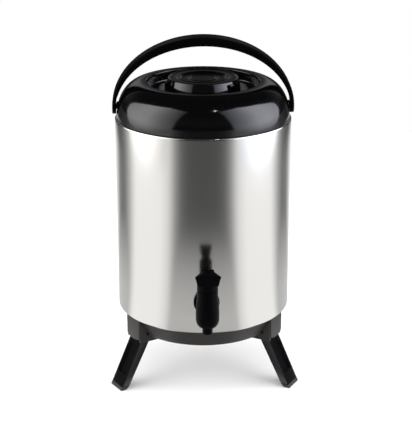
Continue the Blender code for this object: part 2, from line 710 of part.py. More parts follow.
def make_base(frame):
    profile = [
        (0.0, BASE_PLATE_LOW),
        (base_radius_at(BASE_PLATE_LOW) - BASE_WALL, BASE_PLATE_LOW),
        (BASE_FOOT_RADIUS - BASE_WALL, BASE_LOW),
        (BASE_FOOT_RADIUS, BASE_LOW),
        (BASE_TOP_RADIUS, BASE_TOP),
        (BASE_TOP_RADIUS - BASE_WALL, BASE_TOP),
        (base_radius_at(BASE_PLATE_HIGH) - BASE_WALL, BASE_PLATE_HIGH),
        (0.0, BASE_PLATE_HIGH),
    ]
    base = add_part("base_ring", lathe(profile), "dark_grey", frame)
    turns = [Matrix.Rotation(math.radians(angle), 4, "Z") for angle in LEG_ANGLES.values()]
    bore = CHEEK_FACE + CHEEK + RUN_GAP
    rods = [cylinder(LEG_PIN_RADIUS + SEAT_GAP, -bore, bore, PIN_ROUND) for _ in turns]
    join(base, together(moved(leg_cheeks(), turn) for turn in turns))
    cut(base, together(moved(leg_slot(), turn) for turn in turns))
    join(base, together(moved(tongue_plate(), turn) for turn in turns))
    join(base, screw_rods(SCREW_BOSS_RADIUS, BASE_PLATE_LOW + BASE_PLATE / 2, BASE_TOP))
    cut(base, together(moved(rod, turn @ leg_pin_place()) for rod, turn in zip(rods, turns)))
    cut(base, screw_rods(SCREW_RADIUS + SEAT_GAP, BASE_PLATE_LOW - OVERCUT, BASE_TOP + OVERCUT))


def leg_pin_place():
    """Lays a rod turned round Z along the leg's hinge axis, for a leg that points along +X."""
    pivot = Matrix.Translation((LEG_PIVOT_RADIUS, 0.0, LEG_PIVOT_HEIGHT))
    return pivot @ Matrix.Rotation(math.pi / 2, 4, "X")


def leg_cheeks():
    """Block that the hinge cheeks of a leg are cut from, for a leg that points along +X."""
    back = LEG_PIVOT_RADIUS - CHEEK_INNER_REACH
    roof = BASE_PLATE_LOW + BASE_PLATE / 2
    half = CHEEK_FACE + CHEEK
    return block((back, TONGUE_FACE + CHEEK), (-half, half), (BASE_LOW - CHEEK_DROP, roof))


def leg_slot():
    """Room for a leg's head between its cheeks, open below, for a leg that points along +X."""
    high = LEG_PIVOT_HEIGHT + LEG_HEAD_RADIUS + RUN_GAP
    low = BASE_LOW - CHEEK_DROP - OVERCUT
    back = LEG_PIVOT_RADIUS - CHEEK_INNER_REACH - OVERCUT
    return block((back, TONGUE_RADIUS), (-CHEEK_FACE, CHEEK_FACE), (low, high))


def tongue_outline():
    """Front outline of the pointed tongue over a leg's head, as (across, up) points."""
    high = FLOOR_TO_SHELL - SEAT_GAP
    low = FLOOR_TO_SHELL - TONGUE_DROP
    tip_low = FLOOR_TO_SHELL - TONGUE_TIP_DROP
    half, tip = TONGUE_HALF_WIDTH, TONGUE_TIP_HALF_WIDTH
    return [(-half, high), (-half, low), (-tip, tip_low), (tip, tip_low), (half, low), (half, high)]


def tongue_plate():
    """Tongue of a leg that points along +X: flat behind, and curved in front with the barrel."""
    bm = prism(tongue_outline(), TONGUE_FACE, TONGUE_RADIUS)
    moved(bm, Matrix.Rotation(-math.pi / 2, 4, "Z"))
    for step in range(1, TONGUE_STEPS):
        across = TONGUE_HALF_WIDTH * (2 * step / TONGUE_STEPS - 1)
        whole = bm.verts[:] + bm.edges[:] + bm.faces[:]
        bmesh.ops.bisect_plane(bm, geom=whole, plane_co=(0.0, across, 0.0), plane_no=(0.0, 1.0, 0.0))
    for vert in bm.verts:
        if vert.co.x > TONGUE_FACE + WELD:
            vert.co.x = math.sqrt(TONGUE_RADIUS ** 2 - vert.co.y ** 2)
    return bm


def leg_outline(bottom):
    """Side outline of a leg, as (out, up) from its pivot, cut off level at a height above the floor."""
    lean = math.tan(LEG_LEAN)
    floor = -LEG_PIVOT_HEIGHT
    inner_foot = Vector((LEG_SPREAD - LEG_FOOT_THICKNESS, floor))
    reach = inner_foot.length
    tangent = math.atan2(inner_foot.y, inner_foot.x) - math.acos(LEG_HEAD_RADIUS / reach)
    outer_angle = math.degrees(LEG_LEAN - math.acos(LEG_FACE_OFFSET / LEG_HEAD_RADIUS))
    inner_point = Vector((math.cos(tangent), math.sin(tangent))) * LEG_HEAD_RADIUS
    share = (bottom + floor - inner_point.y) / (floor - inner_point.y)
    inner_end = inner_point + (inner_foot - inner_point) * share
    inner_angle = math.degrees(tangent) + 360
    head = arc(0.0, 0.0, LEG_HEAD_RADIUS, LEG_HEAD_RADIUS, outer_angle, inner_angle, HEAD_STEPS)
    outer_end = (LEG_SPREAD - lean * bottom, bottom + floor)
    return [outer_end] + head + [tuple(inner_end)]


def panel_outline():
    """Side outline of the shallow channel in a leg's outer face, as (out, up) from the pivot."""
    lean = math.tan(LEG_LEAN)
    deep = PANEL_DEPTH / math.cos(LEG_LEAN)
    points = []
    for height, shift in (
        (PANEL_FOOT_HEIGHT, -deep),
        (PANEL_FOOT_HEIGHT, OVERCUT),
        (PANEL_TOP_HEIGHT, OVERCUT),
        (PANEL_TOP_HEIGHT, -deep),
    ):
        points.append((LEG_SPREAD - lean * height + shift, height - LEG_PIVOT_HEIGHT))
    return points


def foot_peg(radius, low, high):
    """Rod on the middle of a leg's foot, in the leg's own frame."""
    middle = LEG_SPREAD - math.tan(LEG_LEAN) * FOOT_PAD - LEG_FOOT_THICKNESS / 2
    rod = cylinder(radius, low - LEG_PIVOT_HEIGHT, high - LEG_PIVOT_HEIGHT, PIN_ROUND)
    return moved(rod, Matrix.Translation((middle, 0.0, 0.0)))


def make_leg(frame, label, angle):
    turn = math.radians(angle)
    hinge = (LEG_PIVOT_RADIUS * math.cos(turn), LEG_PIVOT_RADIUS * math.sin(turn), LEG_PIVOT_HEIGHT)
    half = LEG_WIDTH / 2
    pad_top = FOOT_PAD
    leg_mesh = prism(leg_outline(pad_top + SEAT_GAP), -half, half)
    leg = add_part(f"{label}_leg", leg_mesh, "satin_black", frame, hinge, angle)
    inset = half - PANEL_BORDER
    cut(leg, prism(panel_outline(), -inset, inset))
    bore = cylinder(LEG_PIN_RADIUS + SEAT_GAP, -LEG_WIDTH, LEG_WIDTH, PIN_ROUND)
    cut(leg, moved(bore, Matrix.Rotation(math.pi / 2, 4, "X")))
    cut(leg, foot_peg(FOOT_PEG_RADIUS + SEAT_GAP, 0.0, pad_top + FOOT_PEG + SEAT_GAP))
    outer, *_, inner = leg_outline(0.0)
    pad_outer, *_, pad_inner = leg_outline(pad_top)
    pad_outline = [
        outer,
        pad_outer,
        pad_inner,
        (inner[0], inner[1] + FOOT_CHAMFER),
        (inner[0] + FOOT_CHAMFER, inner[1]),
    ]
    pad = add_part(f"{label}_foot", prism(pad_outline, -half, half), "black_rubber", frame, hinge, angle)
    join(pad, foot_peg(FOOT_PEG_RADIUS, pad_top / 2, pad_top + FOOT_PEG))
    length = CHEEK_FACE + CHEEK
    pin_mesh = moved(cylinder(LEG_PIN_RADIUS, -length, length, PIN_ROUND), leg_pin_place())
    add_part(f"{label}_leg_pin", pin_mesh, "satin_black", frame, turn=angle)


def make_screws(frame):
    head_top = BASE_PLATE_LOW - SEAT_GAP
    profile = [
        (0.0, head_top - SCREW_HEAD),
        (SCREW_HEAD_RADIUS, head_top - SCREW_HEAD),
        (SCREW_HEAD_RADIUS, head_top),
        (SCREW_RADIUS, head_top),
        (SCREW_RADIUS, PLATE_HIGH + SCREW_BITE),
        (0.0, PLATE_HIGH + SCREW_BITE),
    ]
    for number, spot in enumerate(screw_places(), start=1):
        add_part(f"base_screw_{number}", lathe(profile, PIN_ROUND), "bright_steel", frame, location=spot)


def make_tap_body(frame):
    low = TAP_HEIGHT - TAP_BOWL_DROP
    high = TAP_HEIGHT + TAP_BOWL_RISE
    shoulder = TAP_HEIGHT + TAP_SHOULDER_RISE
    seat = BONNET_LOW - BONNET_SKIRT - SEAT_GAP
    top = TAP_HEIGHT + TAP_BARREL_TOP
    waist = TAP_BARREL_RADIUS + SEAT_GAP + BONNET_WALL
    nozzle_low = TAP_HEIGHT - NOZZLE_DROP
    swell = TAP_BOWL_RADIUS - NOZZLE_RADIUS
    outside = [(0.0, nozzle_low), (NOZZLE_RADIUS, nozzle_low)]
    outside += arc(NOZZLE_RADIUS, low + TAP_BOWL_ROUND, swell, TAP_BOWL_ROUND, -90, 0, TAP_BOWL_STEPS)
    outside += [
        (TAP_BOWL_RADIUS, high),
        (waist, shoulder),
        (waist, seat),
        (TAP_BARREL_RADIUS, seat),
        (TAP_BARREL_RADIUS, top),
        (0.0, top),
    ]
    body = add_part("tap_body", at_tap(lathe(outside, SMALL_ROUND)), "satin_black", frame)
    shank = [
        (0.0, LINER_RADIUS - SHANK_INSIDE),
        (SHANK_RADIUS, LINER_RADIUS - SHANK_INSIDE),
        (SHANK_RADIUS, FLANGE_BACK),
        (TAP_FLANGE_RADIUS, FLANGE_BACK),
        (TAP_FLANGE_RADIUS, FLANGE_BACK + TAP_FLANGE),
        (TAP_NECK_RADIUS, FLANGE_BACK + TAP_FLANGE),
        (TAP_NECK_RADIUS, TAP_AXIS - TAP_WALL),
        (0.0, TAP_AXIS - TAP_WALL),
    ]
    join(body, along_front(lathe(shank, SMALL_ROUND), TAP_HEIGHT))
    bowl_bore = TAP_BOWL_RADIUS - TAP_WALL
    barrel_bore = TAP_BARREL_RADIUS - TAP_WALL
    hollow = [
        (0.0, nozzle_low - OVERCUT),
        (NOZZLE_BORE, nozzle_low - OVERCUT),
        (NOZZLE_BORE, TAP_SEAT),
        (bowl_bore - TAP_FLOOR, TAP_SEAT),
        (bowl_bore, TAP_SEAT + 2 * TAP_FLOOR),
        (bowl_bore, high),
        (barrel_bore, shoulder),
        (barrel_bore, top + OVERCUT),
        (0.0, top + OVERCUT),
    ]
    shank_way = cylinder(SHANK_BORE, LINER_RADIUS - SHANK_INSIDE - OVERCUT, TAP_AXIS)
    cut(body, at_tap(lathe(hollow, SMALL_ROUND)), along_front(shank_way, TAP_HEIGHT))


def washer(radius, bore, low, high):
    """A flat ring on the shank, between two distances from the barrel's axis."""
    ring = [(bore, low), (radius, low), (radius, high), (bore, high)]
    return along_front(lathe(ring, SMALL_ROUND), TAP_HEIGHT)


def upright_drum(radius):
    """A drum on the barrel's axis, level with the tap, for faces that follow the barrel's curve."""
    return cylinder(radius, TAP_HEIGHT - 2 * TAP_FLANGE_RADIUS, TAP_HEIGHT + 2 * TAP_FLANGE_RADIUS, ROUND)


def make_tap_seals(frame):
    bore = SHANK_RADIUS + SEAT_GAP
    outer = washer(TAP_FLANGE_RADIUS, bore, LINER_RADIUS, FLANGE_BACK - SEAT_GAP)
    gasket = add_part("tap_gasket", outer, "black_rubber", frame)
    cut(gasket, upright_drum(SHELL_RADIUS + SEAT_GAP))
    back = LINER_RADIUS - TAP_WASHER
    inner = washer(TAP_WASHER_RADIUS, bore, back, SHELL_RADIUS)
    ring = add_part("tap_washer", inner, "clear_silicone", frame)
    work(ring, add_tool(ring, upright_drum(LINER_RADIUS - SEAT_GAP), "trim"), "INTERSECT")
    high = back - SEAT_GAP
    blank = cylinder(TAP_NUT_FLATS / math.sqrt(3), high - TAP_NUT, high, NUT_SIDES)
    nut = add_part("tap_nut", along_front(blank, TAP_HEIGHT), "satin_black", frame)
    cut(nut, along_front(cylinder(bore, high - TAP_NUT - OVERCUT, high + OVERCUT), TAP_HEIGHT))


def make_bonnet(frame):
    bore = TAP_BARREL_RADIUS + SEAT_GAP
    outer = bore + BONNET_WALL
    guide = STEM_RADIUS + RUN_GAP
    profile = [
        (guide, BONNET_LOW),
        (bore, BONNET_LOW),
        (bore, BONNET_LOW - BONNET_SKIRT),
        (outer, BONNET_LOW - BONNET_SKIRT),
        (outer, BONNET_HIGH),
        (guide, BONNET_HIGH),
    ]
    bonnet = add_part("tap_bonnet", at_tap(lathe(profile, SMALL_ROUND)), "satin_black", frame)
    rise = LEVER_PIN_Z
    ear = [(-EAR_RADIUS, BONNET_HIGH - BONNET_TOP / 2)]
    ear += arc(0.0, rise, EAR_RADIUS, EAR_RADIUS, 180, 0, EAR_STEPS)
    ear += [(EAR_RADIUS, BONNET_HIGH - BONNET_TOP / 2)]
    ears = []
    for side in (1, -1):
        low, high = sorted((side * EAR_INNER, side * (EAR_INNER + EAR_WIDTH)))
        ears.append(moved(prism(ear, low, high), lever_frame()))
    join(bonnet, together(ears))
    pin_reach = EAR_INNER + EAR_WIDTH
    hole = cylinder(LEVER_PIN_RADIUS + SEAT_GAP, -pin_reach - OVERCUT, pin_reach + OVERCUT, PIN_ROUND)
    cut(bonnet, along_x(hole, y=-LEVER_PIN_Y, z=LEVER_PIN_Z))
    pin = cylinder(LEVER_PIN_RADIUS, -pin_reach, pin_reach, PIN_ROUND)
    add_part("tap_lever_pin", along_x(pin, y=-LEVER_PIN_Y, z=LEVER_PIN_Z), "bright_steel", frame)


def lever_frame():
    """Turns an (x, z) prism so that its x counts back from the lever's pin, towards the barrel."""
    return Matrix.Translation((0.0, -LEVER_PIN_Y, 0.0)) @ Matrix.Rotation(math.pi / 2, 4, "Z")


def make_lever(frame):
    low = LEVER_PLATE_RISE
    middle = low + LEVER_PLATE / 2
    rings = []
    for step in range(LEVER_STEPS + 1):
        share = step / LEVER_STEPS
        along = LEVER_TAIL - (LEVER_TAIL + LEVER_TIP) * share
        flare = max(0.0, (share - LEVER_FLARE_START) / (1 - LEVER_FLARE_START))
        width = LEVER_TAIL_WIDTH + (LEVER_TIP_WIDTH - LEVER_TAIL_WIDTH) * flare
        outline = rounded_box(width / 2, LEVER_PLATE / 2, LEVER_ROUND)
        rings.append([Vector((across, along, middle + up)) for across, up in outline])
    pivot = (0.0, -LEVER_PIN_Y, LEVER_PIN_Z)
    lever = add_part("tap_lever", loft(rings), "satin_black", frame, pivot)
    top_half, foot_half = LEVER_APRON_TOP_WIDTH / 2, LEVER_APRON_FOOT_WIDTH / 2
    apron = [(-top_half, middle), (-foot_half, -LEVER_APRON_DROP), (foot_half, -LEVER_APRON_DROP), (top_half, middle)]
    front = SEAT_GAP - LEVER_TIP
    join(lever, prism(apron, front, front + LEVER_APRON))
    inner = EAR_INNER - RUN_GAP
    hub = arc(0.0, 0.0, LEVER_HUB_RADIUS, LEVER_HUB_RADIUS, 180, 360, EAR_STEPS)
    hub += [(LEVER_HUB_RADIUS, middle), (-LEVER_HUB_RADIUS, middle)]
    quarter = Matrix.Rotation(math.pi / 2, 4, "Z")
    join(lever, moved(prism(hub, -inner, inner), quarter))
    prong = [(0.0, PRONG_RADIUS - PRONG_DROP), (-LEVER_HUB_RADIUS / 2, -PRONG_DROP)]
    prong += arc(LEVER_PIN_AHEAD, -PRONG_DROP, PRONG_RADIUS, PRONG_RADIUS, -90, 90, EAR_STEPS)
    prong_inner = STEM_RADIUS + RUN_GAP
    prongs = []
    for side in (1, -1):
        start, end = sorted((side * prong_inner, side * PRONG_OUTER))
        prongs.append(moved(prism(prong, start, end), quarter))
    join(lever, together(prongs))
    cut(lever, along_x(cylinder(LEVER_PIN_RADIUS + SEAT_GAP, -LEVER_TIP_WIDTH, LEVER_TIP_WIDTH, PIN_ROUND)))


def make_valve(frame):
    seat_low = TAP_SEAT + SEAT_GAP
    stem_low = seat_low + SEAT_FLOOR + SEAT_GAP
    flange_high = STEM_FLANGE_LOW + STEM_FLANGE
    stem = [
        (0.0, stem_low),
        (STEM_RADIUS, stem_low),
        (STEM_RADIUS, STEM_FLANGE_LOW),
        (STEM_FLANGE_RADIUS, STEM_FLANGE_LOW),
        (STEM_FLANGE_RADIUS, flange_high),
        (STEM_RADIUS, flange_high),
        (STEM_RADIUS, STEM_HEAD_LOW),
        (STEM_HEAD_RADIUS, STEM_HEAD_LOW),
        (STEM_HEAD_RADIUS, STEM_HEAD_LOW + STEM_HEAD),
        (0.0, STEM_HEAD_LOW + STEM_HEAD),
    ]
    add_part("tap_stem", at_tap(lathe(stem, PIN_ROUND)), "satin_black", frame)
    socket = STEM_RADIUS + SEAT_GAP
    cup = [
        (0.0, seat_low),
        (SEAT_RADIUS, seat_low),
        (SEAT_RADIUS, seat_low + SEAT_FLOOR),
        (STEM_FLANGE_RADIUS, seat_low + SEAT_HEIGHT),
        (socket, seat_low + SEAT_HEIGHT),
        (socket, seat_low + SEAT_FLOOR),
        (0.0, seat_low + SEAT_FLOOR),
    ]
    add_part("tap_seat_cup", at_tap(lathe(cup, PIN_ROUND)), "clear_silicone", frame)
    make_spring(frame, flange_high + SEAT_GAP + SPRING_WIRE, BONNET_LOW - SEAT_GAP - SPRING_WIRE)


def make_spring(frame, low, high):
    points = []
    count = SPRING_TURNS * SPRING_POINTS
    for step in range(count + 1):
        turn = 2 * math.pi * step / SPRING_POINTS
        height = low + (high - low) * step / count
        around = Vector((math.cos(turn), math.sin(turn), 0.0)) * SPRING_RADIUS
        points.append(around + Vector((0.0, -TAP_AXIS, height)))
    curve = bpy.data.curves.new("tap_spring", "CURVE")
    curve.dimensions = "3D"
    curve.bevel_depth = SPRING_WIRE
    curve.bevel_resolution = SPRING_SIDES
    curve.use_fill_caps = True
    spline = curve.splines.new("POLY")
    spline.points.add(len(points) - 1)
    for knot, point in zip(spline.points, points):
        knot.co = (*point, 1.0)
    curve.materials.append(material("tap_spring", "bright_steel"))
    place("tap_spring", curve, frame, (0.0, 0.0, 0.0), 0.0)
    apart = min((a - b).length for i, a in enumerate(points) for b in points[i + SPRING_POINTS // 2:])
    print(f"tap_spring: least gap to itself {1000 * (apart - 2 * SPRING_WIRE):.2f} mm")


def main():
    clear_scene()
    frame = bpy.data.objects.new("barrel_axis", None)
    bpy.context.scene.collection.objects.link(frame)
    frame.location = (0.0, AXIS_Y, 0.0)
    make_shell(frame)
    make_bottom_plate(frame)
    make_liner(frame)
    make_foam(frame)
    make_shoulder(frame)
    make_neck(frame)
    make_lid(frame)
    make_bail(frame)
    make_base(frame)
    make_screws(frame)
    for label, angle in LEG_ANGLES.items():
        make_leg(frame, label, angle)
    make_tap_body(frame)
    make_tap_seals(frame)
    make_bonnet(frame)
    make_lever(frame)
    make_valve(frame)


main()
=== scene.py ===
# %% [markdown]
# # An insulated drinks dispenser, dressed for the camera
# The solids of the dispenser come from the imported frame, and this lesson gives them their looks. Each step
# makes one piece or one finish, lets it ride on the body that carries it, and hides the plain solid that it
# stands for. Lengths are in metres, the barrel stands upright, and the tap points to -Y.

import json
import math

import bmesh
import bpy
from mathutils import Matrix, Vector


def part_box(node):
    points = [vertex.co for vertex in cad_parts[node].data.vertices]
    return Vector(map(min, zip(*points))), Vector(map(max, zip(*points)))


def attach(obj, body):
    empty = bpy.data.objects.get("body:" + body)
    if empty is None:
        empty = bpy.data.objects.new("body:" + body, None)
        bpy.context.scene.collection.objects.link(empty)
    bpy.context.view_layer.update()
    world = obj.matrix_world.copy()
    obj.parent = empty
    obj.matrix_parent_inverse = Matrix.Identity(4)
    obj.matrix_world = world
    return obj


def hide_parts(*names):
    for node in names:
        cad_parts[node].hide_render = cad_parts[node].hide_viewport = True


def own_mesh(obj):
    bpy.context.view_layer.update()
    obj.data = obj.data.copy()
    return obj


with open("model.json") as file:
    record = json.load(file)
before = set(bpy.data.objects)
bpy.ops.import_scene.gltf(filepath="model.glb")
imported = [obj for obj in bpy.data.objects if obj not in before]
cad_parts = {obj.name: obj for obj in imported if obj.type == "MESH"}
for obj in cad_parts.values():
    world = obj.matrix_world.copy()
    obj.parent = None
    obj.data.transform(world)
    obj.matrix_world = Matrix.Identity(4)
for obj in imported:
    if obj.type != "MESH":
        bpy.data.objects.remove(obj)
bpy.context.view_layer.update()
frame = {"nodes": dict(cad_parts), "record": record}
SHELL_LOW, SHELL_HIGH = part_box("outer_shell")
AXIS = Vector(((SHELL_LOW.x + SHELL_HIGH.x) / 2, (SHELL_LOW.y + SHELL_HIGH.y) / 2, 0.0))
print("barrel axis at", tuple(round(value, 4) for value in AXIS))

# %% [markdown]
# ## Camera
# A camera can be dragged until the picture looks right, but it is safer to solve it. The barrel's edges and
# the feet were measured in the picture, and a long lens a little under two metres away, looking down by
# about twenty degrees, puts them in place.

# %% camera
IMAGE_SIZE = (412, 448)
SENSOR = 36.0
FOCAL_PIXELS = 1290.0
CAMERA_HEIGHT = 0.860
CAMERA_DISTANCE = 1.775
CAMERA_ASIDE = 0.004
CAMERA_TURN = math.radians(2.1)
CAMERA_PITCH = math.radians(19.69)
AHEAD = Vector((math.sin(CAMERA_TURN), math.cos(CAMERA_TURN), 0.0))
RIGHT = Vector((math.cos(CAMERA_TURN), -math.sin(CAMERA_TURN), 0.0))
UP = Vector((0.0, 0.0, 1.0))

lens = bpy.data.cameras.new("picture_camera")
lens.sensor_width = SENSOR
lens.lens = FOCAL_PIXELS * SENSOR / max(IMAGE_SIZE)
camera = bpy.data.objects.new("picture_camera", lens)
camera.location = AXIS - AHEAD * CAMERA_DISTANCE + RIGHT * CAMERA_ASIDE + UP * CAMERA_HEIGHT
looking = AHEAD * math.cos(CAMERA_PITCH) - UP * math.sin(CAMERA_PITCH)
camera.rotation_euler = looking.to_track_quat("-Z", "Y").to_euler()
bpy.context.scene.collection.objects.link(camera)
bpy.context.scene.camera = camera
print("lens", round(lens.lens, 2), "mm")

# %% [markdown]
# ## Finishes
# Every finish is a small node tree on one Principled shader. Three helpers are enough to begin with: one
# turns a hex colour into the linear values that the shader works in, one adds a node with its settings and
# its links, and one starts a finish with its plain values. The pattern of each one follows in its own cell.

# %% helpers for finishes
FINISH = {}


def linear(hex_colour):
    """Turn an sRGB hex colour into a linear RGBA value."""
    channels = [int(hex_colour[place:place + 2], 16) / 255 for place in (1, 3, 5)]
    light = [c / 12.92 if c <= 0.04045 else ((c + 0.055) / 1.055) ** 2.4 for c in channels]
    return (*light, 1.0)


def add(tree, kind, feeds, **settings):
    """Add a node, set its properties, and link or set each input that feeds names."""
    node = tree.nodes.new(kind)
    for name, value in settings.items():
        setattr(node, name, value)
    for name, value in feeds.items():
        if isinstance(value, bpy.types.NodeSocket):
            tree.links.new(value, node.inputs[name])
        else:
            node.inputs[name].default_value = value
    return node


def start_finish(slot, name, **values):
    """Start a finish for one of the part's material slots; gives its tree, shader and coordinates."""
    material = bpy.data.materials.new(name)
    material.use_nodes = True
    tree = material.node_tree
    shader = tree.nodes["Principled BSDF"]
    for socket, value in values.items():
        shader.inputs[socket.replace("_", " ")].default_value = value
    where = add(tree, "ShaderNodeTexCoord", {}).outputs["Object"]
    FINISH[slot] = material
    print("finish", name)
    return tree, shader, where


print("mid grey #808080 is", round(linear("#808080")[0], 3), "in linear light")

# %% [markdown]
# No real surface is quite even. A noise, sized for the grain or the wear of the material, moves the
# roughness of each finish between two values, and often tilts the surface a little too. Four more helpers do
# this.

# %% helpers for patterns
MM = 0.001


def noise(tree, where, size, detail):
    """A cloudy pattern from 0 to 1 whose spots are about one size."""
    cloud = add(tree, "ShaderNodeTexNoise", {"Vector": where, "Scale": 1 / size, "Detail": detail})
    return cloud.outputs["Fac"]


def spread(tree, value, low, high):
    """Map a 0 to 1 pattern to a range."""
    mapped = add(tree, "ShaderNodeMapRange", {"Value": value, "To Min": low, "To Max": high})
    return mapped.outputs["Result"]


def roughen(tree, shader, pattern, low, high):
    """Let a pattern move the roughness between two values."""
    tree.links.new(spread(tree, pattern, low, high), shader.inputs["Roughness"])


def emboss(tree, shader, pattern, strength, depth):
    """Let a pattern tilt the surface, as if it were pressed in by a depth."""
    tilted = add(tree, "ShaderNodeBump", {"Height": pattern, "Strength": strength, "Distance": depth})
    tree.links.new(tilted.outputs["Normal"], shader.inputs["Normal"])


# %% [markdown]
# ### Satin stainless
# The barrel is stainless sheet, ground with a fine belt while it turned, so its scratches run round it.
# They stretch each highlight up and down and leave the vertical bands of the studio sharp. An anisotropic
# shader could do that alone, but it is not used here, because the scratches should also be seen close by. So
# a noise is wrapped round the axis: its coordinates are the angle, times the radius, and the height.

# %% satin stainless
SHELL_RADIUS = 0.125


def reckon(tree, operation, *values):
    """The result of a Math node on one or two values."""
    return add(tree, "ShaderNodeMath", dict(enumerate(values)), operation=operation).outputs[0]


def wrapped(tree, where, along, across):
    """Coordinates that run round the barrel axis, in steps of a length along it and a length across it."""
    centred = add(tree, "ShaderNodeMapping", {"Vector": where, "Location": -AXIS})
    split = add(tree, "ShaderNodeSeparateXYZ", {"Vector": centred.outputs["Vector"]}).outputs
    angle = reckon(tree, "ARCTAN2", split["Y"], split["X"])
    turn = reckon(tree, "MULTIPLY", angle, SHELL_RADIUS / along)
    rise = reckon(tree, "MULTIPLY", split["Z"], 1 / across)
    return add(tree, "ShaderNodeCombineXYZ", {"X": turn, "Y": rise}).outputs["Vector"]


# Belt scratches are near 0.05 mm wide; they are drawn 0.3 mm wide so that the picture can hold them.
SCRATCH_LENGTH = 40 * MM
SCRATCH_WIDTH = 0.3 * MM
tree, shader, where = start_finish("satin_steel", "stainless_satin_belt_ground",
                                   Metallic=1.0, Base_Color=linear("#CECDCA"))
scratches = noise(tree, wrapped(tree, where, SCRATCH_LENGTH, SCRATCH_WIDTH), size=1.0, detail=3.0)
roughen(tree, shader, scratches, 0.11, 0.23)
emboss(tree, shader, scratches, strength=0.018, depth=0.05 * MM)

# %% [markdown]
# ### Bright stainless and plated steel
# The liner, pins, screws and spring are bright metal without a ground finish. Drawing and rolling leave a
# faint cloudiness, so a soft noise moves the roughness a little.

# %% bright stainless
CLOUD = 9 * MM
tree, shader, where = start_finish("bright_steel", "stainless_bright_drawn",
                                   Metallic=1.0, Base_Color=linear("#C9CACB"))
roughen(tree, shader, noise(tree, where, CLOUD, detail=4.0), 0.12, 0.30)

# %% [markdown]
# ### Gloss black ABS
# The shoulder and the lid come from polished moulds. ABS flows a little as it cools, so its gloss has a very
# shallow waviness, and handling leaves some patches duller than others.

# %% gloss black ABS
FLOW = 6 * MM
tree, shader, where = start_finish("gloss_black", "abs_gloss_black_moulded",
                                   Base_Color=linear("#030304"), IOR=1.53)
waves = noise(tree, where, FLOW, detail=2.0)
roughen(tree, shader, waves, 0.08, 0.14)
emboss(tree, shader, waves, strength=0.03, depth=0.2 * MM)

# %% [markdown]
# ### Satin black polypropylene
# Handle, tap and the outer faces of the legs are tougher plastic from moulds with a spark-eroded grain. The
# grain is a field of small bumps, which breaks up the highlights and makes the black look softer.

# %% satin black polypropylene
ERODED_GRAIN = 0.6 * MM
GRAIN_DEPTH = 0.05 * MM
tree, shader, where = start_finish("satin_black", "polypropylene_black_grained",
                                   Base_Color=linear("#030304"), IOR=1.49, Specular_IOR_Level=0.03)
grain = noise(tree, where, ERODED_GRAIN, detail=2.0)
roughen(tree, shader, grain, 0.28, 0.44)
emboss(tree, shader, grain, strength=0.12, depth=GRAIN_DEPTH)

# %% [markdown]
# ### Smooth black polypropylene, a lighter black for painted light
# The sides of a leg slide along the mould as it opens, so the mould is left smoother there. This second
# black is glossier and its grain is shallower. Its colour is also a lighter black than the grained one. That
# is painted light: it makes the sides of a leg look lit beside the darker outer face.

# %% smooth black polypropylene
# Base colour #121212, lighter than the grained #030304: painted light on the sides of the legs.
tree, shader, where = start_finish("leg_black", "polypropylene_black_smooth_painted_lit",
                                   Base_Color=linear("#121212"), IOR=1.49, Specular_IOR_Level=0.5)
grain = noise(tree, where, ERODED_GRAIN, detail=2.0)
roughen(tree, shader, grain, 0.16, 0.26)
emboss(tree, shader, grain, strength=0.05, depth=GRAIN_DEPTH)

# %% [markdown]
# ### Dark grey polypropylene
# The base is the same plastic in charcoal grey. It is rubbed paler where it is handled, so a larger noise
# moves its colour between two greys. A Mix node does it. Its sockets are picked by number, because it has a
# set of its own for numbers and another for colours, under the same names.

# %% dark grey polypropylene
MIX_SOCKETS = {"FLOAT": (2, 3, 0), "RGBA": (6, 7, 2)}
RUBBED = 14 * MM


def blend(tree, kind, share, first, second):
    """Mix two numbers or two colours by a share from 0 to 1."""
    first_socket, second_socket, result = MIX_SOCKETS[kind]
    feeds = {0: share, first_socket: first, second_socket: second}
    return add(tree, "ShaderNodeMix", feeds, data_type=kind).outputs[result]


def two_tone(tree, shader, pattern, first, second):
    """Let a pattern move the colour between two hex colours."""
    tint = blend(tree, "RGBA", pattern, linear(first), linear(second))
    tree.links.new(tint, shader.inputs["Base Color"])


tree, shader, where = start_finish("dark_grey", "polypropylene_charcoal_grained",
                                   IOR=1.49, Specular_IOR_Level=0.25)
two_tone(tree, shader, noise(tree, where, RUBBED, detail=5.0), "#201F1E", "#2B2928")
grain = noise(tree, where, ERODED_GRAIN, detail=2.0)
roughen(tree, shader, grain, 0.36, 0.52)
emboss(tree, shader, grain, strength=0.12, depth=GRAIN_DEPTH)

# %% [markdown]
# ### Silicone, rubber and foam
# The seals are moulded silicone, pale and a little see-through at thin edges. The foot pads are black rubber
# with a dusty bloom. The insulation is poured polyurethane foam, a pale yellow mass of small cells, which
# shows only in a cut model.

# %% silicone
tree, shader, where = start_finish("clear_silicone", "silicone_translucent_moulded",
                                   IOR=1.41, Transmission_Weight=0.15, Subsurface_Weight=0.2)
haze = noise(tree, where, CLOUD, detail=3.0)
two_tone(tree, shader, haze, "#D9D8D0", "#E6E5DF")
roughen(tree, shader, haze, 0.38, 0.52)

# %% rubber
BLOOM = 5 * MM
tree, shader, where = start_finish("black_rubber", "rubber_black_moulded", IOR=1.52)
bloom = noise(tree, where, BLOOM, detail=6.0)
two_tone(tree, shader, bloom, "#141414", "#232323")
roughen(tree, shader, bloom, 0.6, 0.85)

# %% foam
FOAM_CELL = 1.2 * MM
tree, shader, where = start_finish("foam", "polyurethane_foam_poured", Roughness=0.9)
cells = add(tree, "ShaderNodeTexVoronoi", {"Vector": where, "Scale": 1 / FOAM_CELL}).outputs["Distance"]
two_tone(tree, shader, cells, "#B79B5A", "#E3CF97")
emboss(tree, shader, cells, strength=0.4, depth=0.3 * MM)

# %% [markdown]
# ### Finishes on the solids that stay
# Pins, seals, the liner and the parts inside the tap have the right shape already. They keep their meshes
# and take the finish that their slot names.

